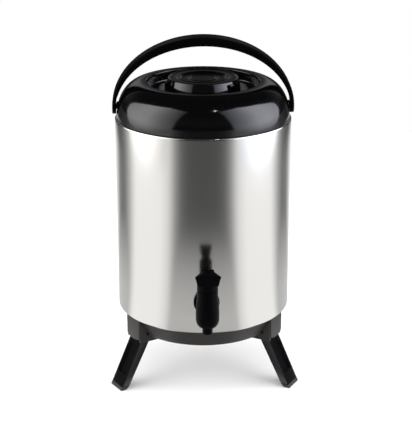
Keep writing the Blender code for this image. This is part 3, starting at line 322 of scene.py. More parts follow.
# %% dress the solids that stay
for row in frame["record"]["subparts"]:
    solid = frame["nodes"][row["node"]]
    solid.data.materials.clear()
    solid.data.materials.append(FINISH[row["material_slot"]])
print(len(frame["nodes"]), "solids dressed")

# %% [markdown]
# ## Turned pieces
# Most of the dispenser is round, so most pieces start as half a section: a few corners, each with a radius,
# a height and a fillet. A lathe tool could be a Screw modifier on a curve. Here the corners are bevelled
# while they are still a wire, and the wire is then spun, so each fillet is a true arc at full size.

# %% turning a section
AROUND = 128
FILLET_STEPS = 5
FULL_TURN = 2 * math.pi
TOUCHING = 1e-6


def turned(section, sides=AROUND):
    """Spin a section of (radius, height, fillet) corners; it closes on the axis or on itself."""
    bm = bmesh.new()
    verts = [bm.verts.new((radius, 0.0, height)) for radius, height, _ in section]
    for pair in zip(verts, verts[1:]):
        bm.edges.new(pair)
    if section[0][0] > 0:
        bm.edges.new((verts[-1], verts[0]))
    for fillet in sorted({corner[2] for corner in section if corner[2]}):
        chosen = [vert for vert, corner in zip(verts, section) if corner[2] == fillet]
        bmesh.ops.bevel(bm, geom=chosen, offset=fillet, affect="VERTICES", segments=FILLET_STEPS,
                        profile=0.5, material=-1)
    bmesh.ops.spin(bm, geom=bm.verts[:] + bm.edges[:], cent=(0, 0, 0), axis=UP, angle=FULL_TURN,
                   steps=sides, use_merge=True)
    bmesh.ops.remove_doubles(bm, verts=bm.verts[:], dist=TOUCHING)
    bmesh.ops.recalc_face_normals(bm, faces=bm.faces[:])
    return bm


def rod(radius, low, high, sides):
    """A plain turned rod, for cutting a hole."""
    return turned([(0, low, 0), (radius, low, 0), (radius, high, 0), (0, high, 0)], sides)


flat_spot = SHELL_RADIUS * (1 - math.cos(math.pi / AROUND))
print(AROUND, "sides leave the barrel", round(flat_spot / MM, 3), "mm from round")

# %% [markdown]
# All shapes are modelled round the barrel's axis. A finished one is moved to its place in the frame, shaded
# smooth up to a crease angle, and given its finish, its body and the solid that it stands for.

# %% adding a piece
CREASE = math.radians(28)


def add_piece(name, bm, body, slot, *nodes):
    """Make a bmesh, modelled round the barrel axis, into a piece that rides on a body."""
    bmesh.ops.translate(bm, verts=bm.verts[:], vec=AXIS)
    mesh = bpy.data.meshes.new(name)
    bm.to_mesh(mesh)
    bm.free()
    mesh.shade_smooth()
    mesh.set_sharp_from_angle(angle=CREASE)
    mesh.materials.append(FINISH[slot])
    made = bpy.data.objects.new(name, mesh)
    bpy.context.scene.collection.objects.link(made)
    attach(made, body)
    if nodes:
        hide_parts(*nodes)
    print(name, len(mesh.polygons), "faces")
    return made


# %% [markdown]
# Some pieces need a hole, or two forms joined. The editor does that with a Boolean modifier, and so does
# this helper: it makes two objects for a moment, lets the modifier join or cut them, and keeps the result.
# A cut can leave points that all but touch, and the next cut would stumble over them, so they are merged.

# %% joining and cutting
def combined(bm, tool, operation):
    """Join, cut or intersect two bmeshes, and give back the result as a new one."""
    made = []
    for part in (bm, tool):
        mesh = bpy.data.meshes.new("moment")
        part.to_mesh(mesh)
        part.free()
        made.append(bpy.data.objects.new("moment", mesh))
        bpy.context.scene.collection.objects.link(made[-1])
    cut = made[0].modifiers.new("cut", "BOOLEAN")
    cut.object, cut.operation, cut.solver = made[1], operation, "EXACT"
    solved = made[0].evaluated_get(bpy.context.evaluated_depsgraph_get())
    result = bmesh.new()
    result.from_mesh(solved.data)
    bmesh.ops.remove_doubles(result, verts=result.verts[:], dist=TOUCHING)
    for spent in made:
        bpy.data.meshes.remove(spent.data)
    return result


def moved(bm, matrix):
    """Move a whole bmesh by a matrix."""
    bmesh.ops.transform(bm, matrix=matrix, verts=bm.verts[:])
    return bm


# %% [markdown]
# ## Barrel
# The outer wall is a rolled sheet with a hem turned in at each end, and a hole for the tap. Its section is a
# thin hook at both ends; the fillets of the hems are what catches the bright line under the shoulder.

# %% barrel wall
SHEET_METAL = 0.8 * MM
SHELL_FOOT, SHELL_TOP = SHELL_LOW.z, SHELL_HIGH.z
HEM_RADIUS, HEM_ROUND = 0.119, 0.003
TAP_HEIGHT, TAP_HOLE, TAP_BAND = 0.156, 0.011, 0.02
DRILL_START, DRILL_END = 0.10, 0.14


def towards_tap(bm, height):
    """Lay an upright turned piece down, so that its top points to the front at a height."""
    return moved(bm, Matrix.Translation((0, 0, height)) @ Matrix.Rotation(math.pi / 2, 4, "X"))


bore, inner_round = SHELL_RADIUS - SHEET_METAL, HEM_ROUND - SHEET_METAL
band_low, band_high = TAP_HEIGHT - TAP_BAND, TAP_HEIGHT + TAP_BAND
barrel = turned([(HEM_RADIUS, SHELL_FOOT, 0), (SHELL_RADIUS, SHELL_FOOT, HEM_ROUND),
                 (SHELL_RADIUS, band_low, 0), (SHELL_RADIUS, band_high, 0),
                 (SHELL_RADIUS, SHELL_TOP, HEM_ROUND), (HEM_RADIUS, SHELL_TOP, 0),
                 (HEM_RADIUS, SHELL_TOP - SHEET_METAL, 0), (bore, SHELL_TOP - SHEET_METAL, inner_round),
                 (bore, band_high, 0), (bore, band_low, 0),
                 (bore, SHELL_FOOT + SHEET_METAL, inner_round), (HEM_RADIUS, SHELL_FOOT + SHEET_METAL, 0)])
drill = rod(TAP_HOLE, DRILL_START, DRILL_END, sides=48)
barrel = combined(barrel, towards_tap(drill, TAP_HEIGHT), "DIFFERENCE")
add_piece("barrel_wall", barrel, "barrel", "satin_steel", "outer_shell")

# %% [markdown]
# ## Shoulder
# The black shoulder is one moulding: a dome that sits on the barrel's hem, a flat rim, and a moat round the
# neck that catches drips and leaves room for fingers at the lid. Its dome is a quarter ellipse in section,
# worked out twice, once for the outer face and once for the inner.

# %% shoulder section
SEAT, SKIRT_FOOT, SKIRT_STEP = 0.3893, 0.377, 0.014
SKIRT_RADIUS, SKIRT_WALL = 0.1187, 0.0024
DOME_BASE, DOME_CENTRE, DOME_WIDTH, DOME_RISE = 0.391, 0.0875, 0.035, 0.0483
DOME_STEPS = 28
RIM_RADIUS, RIM_ROUND = 0.080, 0.0015
MOAT_WALL_FOOT, MOAT_FLOOR, MOAT_ROUND, NECK_HOLE = 0.0794, 0.4240, 0.003, 0.0473


def dome_arc(inset):
    """Points of the dome's section, from its foot to its crown, by an inset inside the outer face."""
    turns = [math.pi / 2 * step / DOME_STEPS for step in range(DOME_STEPS + 1)]
    wide, high = DOME_WIDTH - inset, DOME_RISE - inset
    return [(DOME_CENTRE + wide * math.cos(t), DOME_BASE + high * math.sin(t), 0) for t in turns]


crown = DOME_BASE + DOME_RISE
dome_foot = DOME_CENTRE + DOME_WIDTH
skirt_bore = SKIRT_RADIUS - SKIRT_WALL
shoulder = turned([(SKIRT_RADIUS, SKIRT_FOOT, 0), (SKIRT_RADIUS, SEAT, 0), (dome_foot, SEAT, 0.0005)]
                  + dome_arc(0.0)
                  + [(RIM_RADIUS, crown, RIM_ROUND), (MOAT_WALL_FOOT, MOAT_FLOOR, MOAT_ROUND),
                     (NECK_HOLE, MOAT_FLOOR, 0), (NECK_HOLE, MOAT_FLOOR - SKIRT_WALL, 0),
                     (RIM_RADIUS, MOAT_FLOOR - SKIRT_WALL, MOAT_ROUND),
                     (RIM_RADIUS + SKIRT_WALL, crown - SKIRT_WALL, 0)]
                  + dome_arc(SKIRT_WALL)[::-1]
                  + [(skirt_bore, SKIRT_FOOT + SKIRT_STEP, 0), (skirt_bore, SKIRT_FOOT, 0)])
print("dome from", round(SEAT, 4), "to", round(crown, 4), "m")

# %% [markdown]
# Two bosses for the bail's pins stand out of the dome. Each is turned upright, laid to its side and joined
# to the dome, and the socket for the pin is then cut in its face.

# %% shoulder with its bosses
BAIL_HEIGHT = 0.4035
BOSS_RADIUS, BOSS_FACE, BOSS_DEPTH, BOSS_ROUND = 0.0065, 0.1220, 0.0145, 0.0008
PIN_HOLE, SOCKET_DEPTH = 0.0043, 0.012
OVERCUT = 0.002


def to_side(bm, side):
    """Lay an upright turned piece down, so that its top points to one side at the bail's height."""
    return moved(bm, Matrix.Translation((0, 0, BAIL_HEIGHT)) @ Matrix.Rotation(side * math.pi / 2, 4, "Y"))


for side in (1, -1):
    boss = turned([(0, BOSS_FACE - BOSS_DEPTH, 0), (BOSS_RADIUS, BOSS_FACE - BOSS_DEPTH, 0),
                   (BOSS_RADIUS, BOSS_FACE, BOSS_ROUND), (0, BOSS_FACE, 0)], sides=48)
    socket = rod(PIN_HOLE, BOSS_FACE - SOCKET_DEPTH, BOSS_FACE + OVERCUT, sides=32)
    shoulder = combined(shoulder, to_side(boss, side), "UNION")
    shoulder = combined(shoulder, to_side(socket, side), "DIFFERENCE")
add_piece("shoulder_moulding", shoulder, "barrel", "gloss_black", "shoulder_cover")

# %% [markdown]
# ## Neck and its thread
# The lid turns on a short neck. Its thread has three starts, so that half a turn already lifts the lid well.
# A thread is a spin that also climbs: the section of the ridge is spun with a small step upwards each time.

# %% threads
THREAD_LEAD, THREAD_STARTS, THREAD_STEPS = 0.018, 3, 48
RIDGE_OUT, RIDGE_TALL, RIDGE_ROOT = 0.0013, 0.0022, 0.0003


def joined(parts):
    """Gather several bmeshes in one, without joining their surfaces."""
    whole = bmesh.new()
    for part in parts:
        mesh = bpy.data.meshes.new("moment")
        part.to_mesh(mesh)
        part.free()
        whole.from_mesh(mesh)
        bpy.data.meshes.remove(mesh)
    return whole


def thread(radius, out, low, turn):
    """Ridges of a screw thread that stand out (or in, for a negative out) from a radius."""
    root = radius - math.copysign(RIDGE_ROOT, out)
    section = [(root, -RIDGE_TALL / 2), (radius + out, -RIDGE_TALL / 5),
               (radius + out, RIDGE_TALL / 5), (root, RIDGE_TALL / 2)]
    ridges = []
    for number in range(THREAD_STARTS):
        bm = bmesh.new()
        face = bm.faces.new([bm.verts.new((r, 0.0, low + z)) for r, z in section])
        bmesh.ops.spin(bm, geom=[face], cent=(0, 0, 0), axis=UP, angle=turn, steps=THREAD_STEPS,
                       dvec=(0, 0, THREAD_LEAD * turn / FULL_TURN / THREAD_STEPS))
        bmesh.ops.recalc_face_normals(bm, faces=bm.faces[:])
        ridges.append(moved(bm, Matrix.Rotation(FULL_TURN * number / THREAD_STARTS, 4, "Z")))
    return joined(ridges)


print("ridges", round(THREAD_LEAD / THREAD_STARTS, 4), "m apart")

# %% neck ring with its thread
NECK_BORE, NECK_RADIUS = 0.0435, 0.047
NECK_FOOT, NECK_TOP, NECK_ROUND = 0.4163, 0.4367, 0.0008
FLANGE_RADIUS, FLANGE_TOP = 0.056, 0.4193
NECK_THREAD_LOW, NECK_THREAD_TURN = 0.4265, 0.8 * math.pi

neck = turned([(NECK_BORE, NECK_FOOT, 0), (FLANGE_RADIUS, NECK_FOOT, 0),
               (FLANGE_RADIUS, FLANGE_TOP, NECK_ROUND), (NECK_RADIUS, FLANGE_TOP, 0),
               (NECK_RADIUS, NECK_TOP, NECK_ROUND), (NECK_BORE, NECK_TOP, NECK_ROUND)])
neck = joined([neck, thread(NECK_RADIUS, RIDGE_OUT, NECK_THREAD_LOW, NECK_THREAD_TURN)])
add_piece("neck_with_thread", neck, "barrel", "satin_black", "neck_ring")

# %% [markdown]
# ## Lid
# The lid is a gloss cap with a dished top. Its wall leans in from a short upright foot, and so it shows the
# soft boxes. The groove inside the edge and the ring in the dish are turned with the rest of the section.

# %% lid section
LID_RADIUS, LID_BORE, UNDER_RADIUS = 0.053, 0.050, 0.0480
LID_FOOT, BORE_TOP, LID_UNDER, LID_TOP = 0.4248, 0.4365, 0.4400, 0.4450
TAPER_FOOT, TAPER_RADIUS = 0.4300, 0.0495
LIP_INNER, GROOVE_OUTER, GROOVE_INNER, GROOVE_END = 0.0466, 0.0460, 0.0370, 0.0364
DISH_EDGE, DISH_RADIUS, DISH_FLOOR = 0.0335, 0.0318, 0.4425
RING_FOOT, RING_OUTER, RING_INNER, RING_END = 0.0200, 0.0194, 0.0178, 0.0172
LID_STEP = 0.0007

lid = turned([(0, LID_UNDER, 0), (UNDER_RADIUS, LID_UNDER, 0.0006), (LID_BORE, BORE_TOP, 0),
              (LID_BORE, LID_FOOT, 0.0005), (LID_RADIUS, LID_FOOT, 0.0007), (LID_RADIUS, TAPER_FOOT, 0.002),
              (TAPER_RADIUS, LID_TOP, 0.0014), (LIP_INNER, LID_TOP, 0.0006),
              (GROOVE_OUTER, LID_TOP - LID_STEP, 0.0003), (GROOVE_INNER, LID_TOP - LID_STEP, 0.0003),
              (GROOVE_END, LID_TOP, 0.0004), (DISH_EDGE, LID_TOP, 0.0005), (DISH_RADIUS, DISH_FLOOR, 0.0009),
              (RING_FOOT, DISH_FLOOR, 0.0004), (RING_OUTER, DISH_FLOOR + LID_STEP, 0.0003),
              (RING_INNER, DISH_FLOOR + LID_STEP, 0.0003), (RING_END, DISH_FLOOR, 0.0004),
              (0, DISH_FLOOR, 0)])
print("lid wall leans in by", round(LID_RADIUS - TAPER_RADIUS, 4), "m")

# %% [markdown]
# Three lugs on its side give fingers a hold; they are blocks with rounded edges, joined to the skirt. The
# inner thread has the neck's lead and starts about half a pitch higher, so that its ridges lie between the
# neck's.

# %% lid with its lugs
LUG_ANGLES = (75, 195, 315)
LUG_WIDTH, LUG_REACH, LUG_TOP = 0.007, 0.0555, 0.4420
LUG_ROOT, LUG_LIFT, LUG_ROUND = 0.0012, 0.0001, 0.0011
LID_THREAD_LOW, LID_THREAD_TURN = 0.4292, 0.6 * math.pi


def round_edges(bm, edges, width, segments=3, clamp=False):
    """Round some edges of a bmesh by a width; clamp stops where they come close to each other."""
    bmesh.ops.bevel(bm, geom=edges, offset=width, affect="EDGES", segments=segments, profile=0.5,
                    material=-1, clamp_overlap=clamp)


def rounded_block(low, high, edge, segments=3):
    """A block between two corners with all its edges rounded."""
    bm = bmesh.new()
    bmesh.ops.create_cube(bm, size=1.0)
    low, high = Vector(low), Vector(high)
    moved(bm, Matrix.Translation((low + high) / 2) @ Matrix.Diagonal((*(high - low), 1.0)))
    round_edges(bm, bm.edges[:], edge, segments)
    return bm


for angle in LUG_ANGLES:
    lug = rounded_block((LID_RADIUS - LUG_ROOT, -LUG_WIDTH / 2, LID_FOOT + LUG_LIFT),
                        (LUG_REACH, LUG_WIDTH / 2, LUG_TOP), LUG_ROUND)
    lid = combined(lid, moved(lug, Matrix.Rotation(math.radians(angle), 4, "Z")), "UNION")
lid = joined([lid, thread(LID_BORE, -RIDGE_OUT, LID_THREAD_LOW, LID_THREAD_TURN)])
add_piece("lid_shell", lid, "lid", "gloss_black", "lid_cap")

# %% [markdown]
# ## Bail
# The carrying bail is a flat bar bent into half an ellipse, thicker and wider at the top, where the hand is.
# A curve with a bevel would keep one thickness, so rounded rings are set along the arch and bridged. First
# come the rings: where each one stands, how thick and wide it is, and how the last ones narrow at an end.

# %% rings of the bail
BAIL_SPAN, BAIL_RISE = 0.1284, 0.0988
BAIL_END, BAIL_TOP = 0.0055, 0.0120
SWELL_START, SWELL_POWER = 0.13, 0.75
BAIL_END_WIDTH, BAIL_TOP_WIDTH = 0.022, 0.032
BAIL_STEPS, END_STEPS = 72, 8
END_LEAN = math.radians(87)


def bail_points(turn):
    """Outer and inner points of the arch at an angle from its right end."""
    outer = Vector((BAIL_SPAN * math.cos(turn), 0, BAIL_RISE * math.sin(turn)))
    inwards = -Vector((math.cos(turn) / BAIL_SPAN, 0, math.sin(turn) / BAIL_RISE)).normalized()
    swell = max(0.0, (math.sin(turn) - SWELL_START) / (1 - SWELL_START)) ** SWELL_POWER
    inner = outer + inwards * (BAIL_END + (BAIL_TOP - BAIL_END) * swell)
    return outer + UP * BAIL_HEIGHT, inner + UP * BAIL_HEIGHT


def arch_ring(turn):
    """Outer point, inner point and half width of a ring on the arch."""
    width = BAIL_END_WIDTH + (BAIL_TOP_WIDTH - BAIL_END_WIDTH) * math.sin(turn) ** 2
    return (*bail_points(turn), width / 2)


def end_rings(turn):
    """Rings that narrow below one end of the arch, from the lowest one up."""
    outer, inner = bail_points(turn)
    narrowed = []
    for step in range(END_STEPS + 1):
        lean = END_LEAN * (1 - step / (END_STEPS + 1))
        drop = Vector((0, 0, -BAIL_END_WIDTH / 2 * math.sin(lean)))
        narrowed.append((outer + drop, inner + drop, BAIL_END_WIDTH / 2 * math.cos(lean)))
    return narrowed


rings = end_rings(0.0)
rings += [arch_ring(math.pi * step / BAIL_STEPS) for step in range(BAIL_STEPS + 1)]
rings += end_rings(math.pi)[::-1]
print(len(rings), "rings along the bail")

# %% [markdown]
# Each ring is a rectangle with rounded corners, and bridge_loops closes the bar from ring to ring. Two holes
# for the heads of the pins go through its ends.

# %% bail arch
BAIL_ROUND, CORNER_SHARE = 0.0024, 0.95
RING_SIDES = 32
BAIL_HOLE, HOLE_START, HOLE_END = 0.0066, 0.115, 0.135


def bail_ring(bm, outer, inner, half_width):
    """Add one rounded ring between an outer and an inner point of the arch; gives its edges."""
    across = (outer - inner).normalized()
    middle, half = (outer + inner) / 2, (outer - inner).length / 2
    corner = min(BAIL_ROUND, half * CORNER_SHARE, half_width * CORNER_SHARE)
    verts = []
    for step in range(RING_SIDES):
        turn = FULL_TURN * (step + 0.5) / RING_SIDES
        u = math.copysign(half - corner, math.cos(turn)) + corner * math.cos(turn)
        v = math.copysign(half_width - corner, math.sin(turn)) + corner * math.sin(turn)
        verts.append(bm.verts.new(middle + across * u + Vector((0, v, 0))))
    return [bm.edges.new(pair) for pair in zip(verts, verts[1:] + verts[:1])]


bail = bmesh.new()
loops = [bail_ring(bail, *ring) for ring in rings]
for near, far in zip(loops, loops[1:]):
    bmesh.ops.bridge_loops(bail, edges=near + far)
for end in (loops[0], loops[-1]):
    bmesh.ops.contextual_create(bail, geom=end)
bmesh.ops.recalc_face_normals(bail, faces=bail.faces[:])
for side in (1, -1):
    hole = rod(BAIL_HOLE, HOLE_START, HOLE_END, sides=32)
    bail = combined(bail, to_side(hole, side), "DIFFERENCE")
add_piece("bail_arch", bail, "bail", "satin_black", "carry_bail")

# %% [markdown]
# The bail swings on two headed pins that are pressed into the bosses. Each head has a rounded edge and a
# small dimple, as the mould's ejector leaves it.

# %% bail pins
PIN_RADIUS, PIN_DEPTH = 0.004, 0.012
PIN_HEAD_RADIUS, PIN_HEAD, PIN_FACE = 0.0062, 0.002, BAIL_SPAN
DIMPLE_RADIUS, DIMPLE_FLOOR, DIMPLE = 0.0030, 0.0026, 0.0004

for side, label in ((1, "right"), (-1, "left")):
    pin = turned([(0, BOSS_FACE - PIN_DEPTH, 0), (PIN_RADIUS, BOSS_FACE - PIN_DEPTH, 0.0005),
                  (PIN_RADIUS, PIN_FACE - PIN_HEAD, 0), (PIN_HEAD_RADIUS, PIN_FACE - PIN_HEAD, 0),
                  (PIN_HEAD_RADIUS, PIN_FACE, 0.0007), (DIMPLE_RADIUS, PIN_FACE, 0.0003),
                  (DIMPLE_FLOOR, PIN_FACE - DIMPLE, 0.0003), (0, PIN_FACE - DIMPLE, 0)], sides=48)
    add_piece(f"bail_pin_head_{label}", to_side(pin, side), "barrel", "satin_black", f"bail_pin_{label}")

# %% [markdown]
# ## Base
# The base is a flared moulding under the barrel. Over each leg it has a tongue that runs up to the barrel,
# and behind the tongue two cheeks that hold the leg's pin. The ring is turned first, with the plate that
# closes it.

# %% base ring
BASE_LOW, BASE_TOP = 0.079, 0.1068
BASE_FOOT_RADIUS, BASE_TOP_RADIUS, BASE_WALL = 0.106, 0.1175, 0.0026
PLATE_LOW, PLATE_HIGH = 0.0985, 0.1010


def base_radius(height):
    """Outer radius of the base's flared wall at a height."""
    share = (height - BASE_LOW) / (BASE_TOP - BASE_LOW)
    return BASE_FOOT_RADIUS + (BASE_TOP_RADIUS - BASE_FOOT_RADIUS) * share


base = turned([(0, PLATE_LOW, 0), (base_radius(PLATE_LOW) - BASE_WALL, PLATE_LOW, 0.002),
               (BASE_FOOT_RADIUS - BASE_WALL, BASE_LOW, 0.0007), (BASE_FOOT_RADIUS, BASE_LOW, 0.0011),
               (BASE_TOP_RADIUS, BASE_TOP, 0.0008), (BASE_TOP_RADIUS - BASE_WALL, BASE_TOP, 0.0005),
               (base_radius(PLATE_HIGH) - BASE_WALL, PLATE_HIGH, 0), (0, PLATE_HIGH, 0)])
print("base flares by", round(BASE_TOP_RADIUS - BASE_FOOT_RADIUS, 4), "m")

# %% [markdown]
# A tongue starts as a flat outline that is pulled up to a thickness. Its front edges are rounded while it is
# flat, planes then cut it into strips, and each strip's corners move back by the curve of the barrel.

# %% tongue of the base
TONGUE_FACE, TONGUE_RADIUS = 0.1158, 0.1215
TONGUE_HALF, TONGUE_TIP = 0.018, 0.006
TONGUE_TOP, TONGUE_FOOT, TONGUE_TIP_FOOT = 0.1057, 0.0745, 0.072
TONGUE_CORNERS = ((1, 0.003), (2, 0.002), (3, 0.002), (4, 0.003))
TONGUE_ROUND, TONGUE_STRIPS = 0.001, 12
CORNER_STEPS = 6


def sharp_edges(bm, least=35):
    """Edges where two faces meet at more than an angle in degrees."""
    return [edge for edge in bm.edges if edge.is_manifold and edge.calc_face_angle() > math.radians(least)]


def plate_from(outline, thickness, corners=()):
    """A flat plate of an (x, y) outline, its chosen corners rounded, pulled up from z = 0 to a thickness."""
    bm = bmesh.new()
    verts = [bm.verts.new((x, y, 0.0)) for x, y in outline]
    bm.faces.new(verts)
    for number, radius in corners:
        bmesh.ops.bevel(bm, geom=[verts[number]], offset=radius, affect="VERTICES", segments=CORNER_STEPS,
                        profile=0.5, material=-1)
    pulled = bmesh.ops.extrude_face_region(bm, geom=bm.faces[:])["geom"]
    bmesh.ops.translate(bm, verts=[item for item in pulled if isinstance(item, bmesh.types.BMVert)],
                        vec=(0, 0, thickness))
    bmesh.ops.recalc_face_normals(bm, faces=bm.faces[:])
    return bm


def stood_up(bm, x, y, z):
    """Stand a plate up at a place, with its thickness along X, its outline's x along Y and its y along Z."""
    return moved(bm, Matrix(((0, 0, 1, x), (1, 0, 0, y), (0, 1, 0, z), (0, 0, 0, 1))))


def tongue():
    """The tongue over a leg that points along +X: a plate with rounded front edges, bent with the barrel."""
    outline = [(-TONGUE_HALF, TONGUE_TOP), (-TONGUE_HALF, TONGUE_FOOT), (-TONGUE_TIP, TONGUE_TIP_FOOT),
               (TONGUE_TIP, TONGUE_TIP_FOOT), (TONGUE_HALF, TONGUE_FOOT), (TONGUE_HALF, TONGUE_TOP)]
    deep = TONGUE_RADIUS - TONGUE_FACE
    bm = plate_from(outline, deep, TONGUE_CORNERS)
    front = [edge for edge in sharp_edges(bm) if min(vert.co.z for vert in edge.verts) > deep / 2]
    round_edges(bm, front, TONGUE_ROUND)
    for strip in range(1, TONGUE_STRIPS):
        place = TONGUE_HALF * (2 * strip / TONGUE_STRIPS - 1)
        bmesh.ops.bisect_plane(bm, geom=bm.verts[:] + bm.edges[:] + bm.faces[:], plane_co=(place, 0, 0),
                               plane_no=(1, 0, 0))
    for vert in bm.verts:
        if vert.co.z > deep / 2:
            vert.co.z -= TONGUE_RADIUS - math.sqrt(TONGUE_RADIUS ** 2 - vert.co.x ** 2)
    return stood_up(bm, TONGUE_FACE, 0, 0)


print("tongue", round(2 * TONGUE_HALF, 4), "m wide and", round(TONGUE_TOP - TONGUE_TIP_FOOT, 4), "m tall")

# %% [markdown]
# Ring, cheeks and tongues are joined. The leg's room is cut between the cheeks, and the tongue comes last,
# so that it closes the slot in front.

# %% base moulding
LEG_ANGLES = {"front_left": 210.0, "front_right": 330.0, "rear": 90.0}
TURNS = {label: Matrix.Rotation(math.radians(angle), 4, "Z") for label, angle in LEG_ANGLES.items()}
PIVOT_RADIUS, PIVOT_HEIGHT, HEAD_RADIUS, HEAD_GAP = 0.106, 0.082, 0.0095, 0.0005
CHEEK_FACE, CHEEK, CHEEK_ROUND = 0.016, 0.003, 0.0012
CHEEK_FOOT, CHEEK_TOP, CHEEK_BACK = 0.0695, 0.09975, PIVOT_RADIUS - 0.018
LEG_ROOM_BEYOND, LEG_ROOM_EDGE = 0.004, 0.0004

half = CHEEK_FACE + CHEEK
for turn in TURNS.values():
    cheeks = rounded_block((CHEEK_BACK, -half, CHEEK_FOOT), (TONGUE_FACE + CHEEK, half, CHEEK_TOP),
                           CHEEK_ROUND)
    leg_room = rounded_block((CHEEK_BACK - LEG_ROOM_BEYOND, -CHEEK_FACE, CHEEK_FOOT - LEG_ROOM_BEYOND),
                             (TONGUE_RADIUS, CHEEK_FACE, PIVOT_HEIGHT + HEAD_RADIUS + HEAD_GAP),
                             LEG_ROOM_EDGE, segments=1)
    base = combined(base, moved(cheeks, turn), "UNION")
    base = combined(base, moved(leg_room, turn), "DIFFERENCE")
    base = combined(base, moved(tongue(), turn), "UNION")
add_piece("base_moulding", base, "barrel", "dark_grey", "base_ring")

# %% [markdown]
# ## Legs
# A leg is a strut with a round head on its pin. Its side outline is drawn once: straight along the outer
# face, round the head, and straight down the inner face. Legs and foot pads share it, cut off at their own
# heights.

# %% outline of a leg
LEG_SPREAD, LEG_WIDTH, LEG_FOOT = 0.0445, 0.031, 0.0118
FACE_OFFSET = 0.0040
LEG_LEAN = (math.acos(FACE_OFFSET / math.hypot(LEG_SPREAD, PIVOT_HEIGHT))
            - math.atan2(PIVOT_HEIGHT, LEG_SPREAD))
HEAD_STEPS = 24


def leg_outline(bottom):
    """Side outline of a leg that points along +X, as (out, up) points, cut off level at a height."""
    inner_foot = Vector((LEG_SPREAD - LEG_FOOT, -PIVOT_HEIGHT))
    inner_turn = (math.atan2(inner_foot.y, inner_foot.x) - math.acos(HEAD_RADIUS / inner_foot.length)
                  + FULL_TURN)
    outer_turn = LEG_LEAN - math.acos(FACE_OFFSET / HEAD_RADIUS)
    head = []
    for step in range(HEAD_STEPS + 1):
        turn = outer_turn + (inner_turn - outer_turn) * step / HEAD_STEPS
        head.append(Vector((math.cos(turn), math.sin(turn))) * HEAD_RADIUS)
    share = (bottom - PIVOT_HEIGHT - head[-1].y) / (-PIVOT_HEIGHT - head[-1].y)
    inner = head[-1] + (inner_foot - head[-1]) * share
    outer = Vector((LEG_SPREAD - math.tan(LEG_LEAN) * bottom, bottom - PIVOT_HEIGHT))
    return [(PIVOT_RADIUS + p.x, PIVOT_HEIGHT + p.y) for p in [outer] + head + [inner]]


def across_leg(bm):
    """Turn a plate drawn in (out, up) so that its thickness lies across the leg, centred on it."""
    centred = Matrix.Translation((0, 0, -LEG_WIDTH / 2))
    return moved(bm, Matrix(((1, 0, 0, 0), (0, 0, -1, 0), (0, 1, 0, 0), (0, 0, 0, 1))) @ centred)


print("legs lean out by", round(math.degrees(LEG_LEAN), 1), "degrees")

# %% [markdown]
# The outline is pulled out to the leg's width. A shallow panel lies in the outer face: two planes cut that
# face off from foot and head, it is inset to leave a border, and inset again with depth, which makes the
# sloped wall of the panel. Its upper corners are rounder than its lower ones.

# %% one leg strut
LEG_BOTTOM, LEG_ROUND = 0.0053, 0.0011
LEG_OUT = Vector((math.cos(LEG_LEAN), 0, math.sin(LEG_LEAN)))
FACING = 0.999
PANEL_LOW, PANEL_HIGH = 0.022, 0.064
PANEL_BORDER, PANEL_DEPTH, PANEL_SLOPE = 0.004, 0.0032, 0.0006
PANEL_TOP_ROUND, PANEL_FOOT_ROUND = 0.0060, 0.0020
LEG_PIN_HOLE = 0.0028


def leg_panel(bm):
    """Sink the panel in the outer face of a leg, and round its corners."""
    face = [f for f in bm.faces if f.normal.dot(LEG_OUT) > FACING
            and PANEL_LOW < f.calc_center_median().z < PANEL_HIGH]
    bmesh.ops.inset_region(bm, faces=face, thickness=PANEL_BORDER - LEG_ROUND, use_even_offset=True)
    bmesh.ops.inset_region(bm, faces=face, thickness=PANEL_SLOPE, depth=-PANEL_DEPTH, use_even_offset=True)
    walls = [edge for vert in face[0].verts for edge in vert.link_edges if edge not in face[0].edges[:]]
    high = [edge for edge in walls if edge.verts[0].co.z > (PANEL_LOW + PANEL_HIGH) / 2]
    low = [edge for edge in walls if edge not in high]
    round_edges(bm, high, PANEL_TOP_ROUND, segments=CORNER_STEPS)
    round_edges(bm, low, PANEL_FOOT_ROUND, segments=CORNER_STEPS)


def leg_strut():
    """A leg that points along +X, with its panel and the hole for its pin."""
    bm = across_leg(plate_from(leg_outline(LEG_BOTTOM), LEG_WIDTH))
    border = PANEL_BORDER * math.cos(LEG_LEAN)
    for height in (PANEL_LOW - border, PANEL_HIGH + border):
        bmesh.ops.bisect_plane(bm, geom=bm.verts[:] + bm.edges[:] + bm.faces[:], plane_co=(0, 0, height),
                               plane_no=(0, 0, 1))
    long_edges = [edge for edge in sharp_edges(bm, 20)
                  if abs(abs(edge.verts[0].co.y + edge.verts[1].co.y) - LEG_WIDTH) < TOUCHING]
    round_edges(bm, long_edges, LEG_ROUND)
    leg_panel(bm)
    hole = rod(LEG_PIN_HOLE, -LEG_WIDTH, LEG_WIDTH, sides=24)
    at_pivot = Matrix.Translation((PIVOT_RADIUS, 0, PIVOT_HEIGHT)) @ Matrix.Rotation(math.pi / 2, 4, "X")
    return combined(bm, moved(hole, at_pivot), "DIFFERENCE")


print("panel", round(PANEL_HIGH - PANEL_LOW, 4), "m tall")

# %% [markdown]
# Faces that look outwards, the panel's floor with them, have the grained black, which is darker. All others
# get the smooth, lighter one, through a second material on the same mesh. Because the black is chosen by the
# way a face points, this paints light and shade: the outer faces are painted in shade and the sides painted
# lit.

# %% three leg struts
OUTWARD_PAINTED_SHADE = 0.9

# Outer faces get the dark grained black as painted shade, the other faces the lighter smooth black as
# painted light.
for label, turn in TURNS.items():
    leg = moved(leg_strut(), turn)
    strut = add_piece(f"{label}_strut", leg, f"{label}_leg", "satin_black", f"{label}_leg")
    strut.data.materials.append(FINISH["leg_black"])
    out = turn.to_3x3() @ LEG_OUT
    for face in strut.data.polygons:
        face.material_index = 0 if face.normal.dot(out) > OUTWARD_PAINTED_SHADE else 1

# %% [markdown]
# The foot pads are pressed on below. Their soles carry three grooves, which grip a wet table.

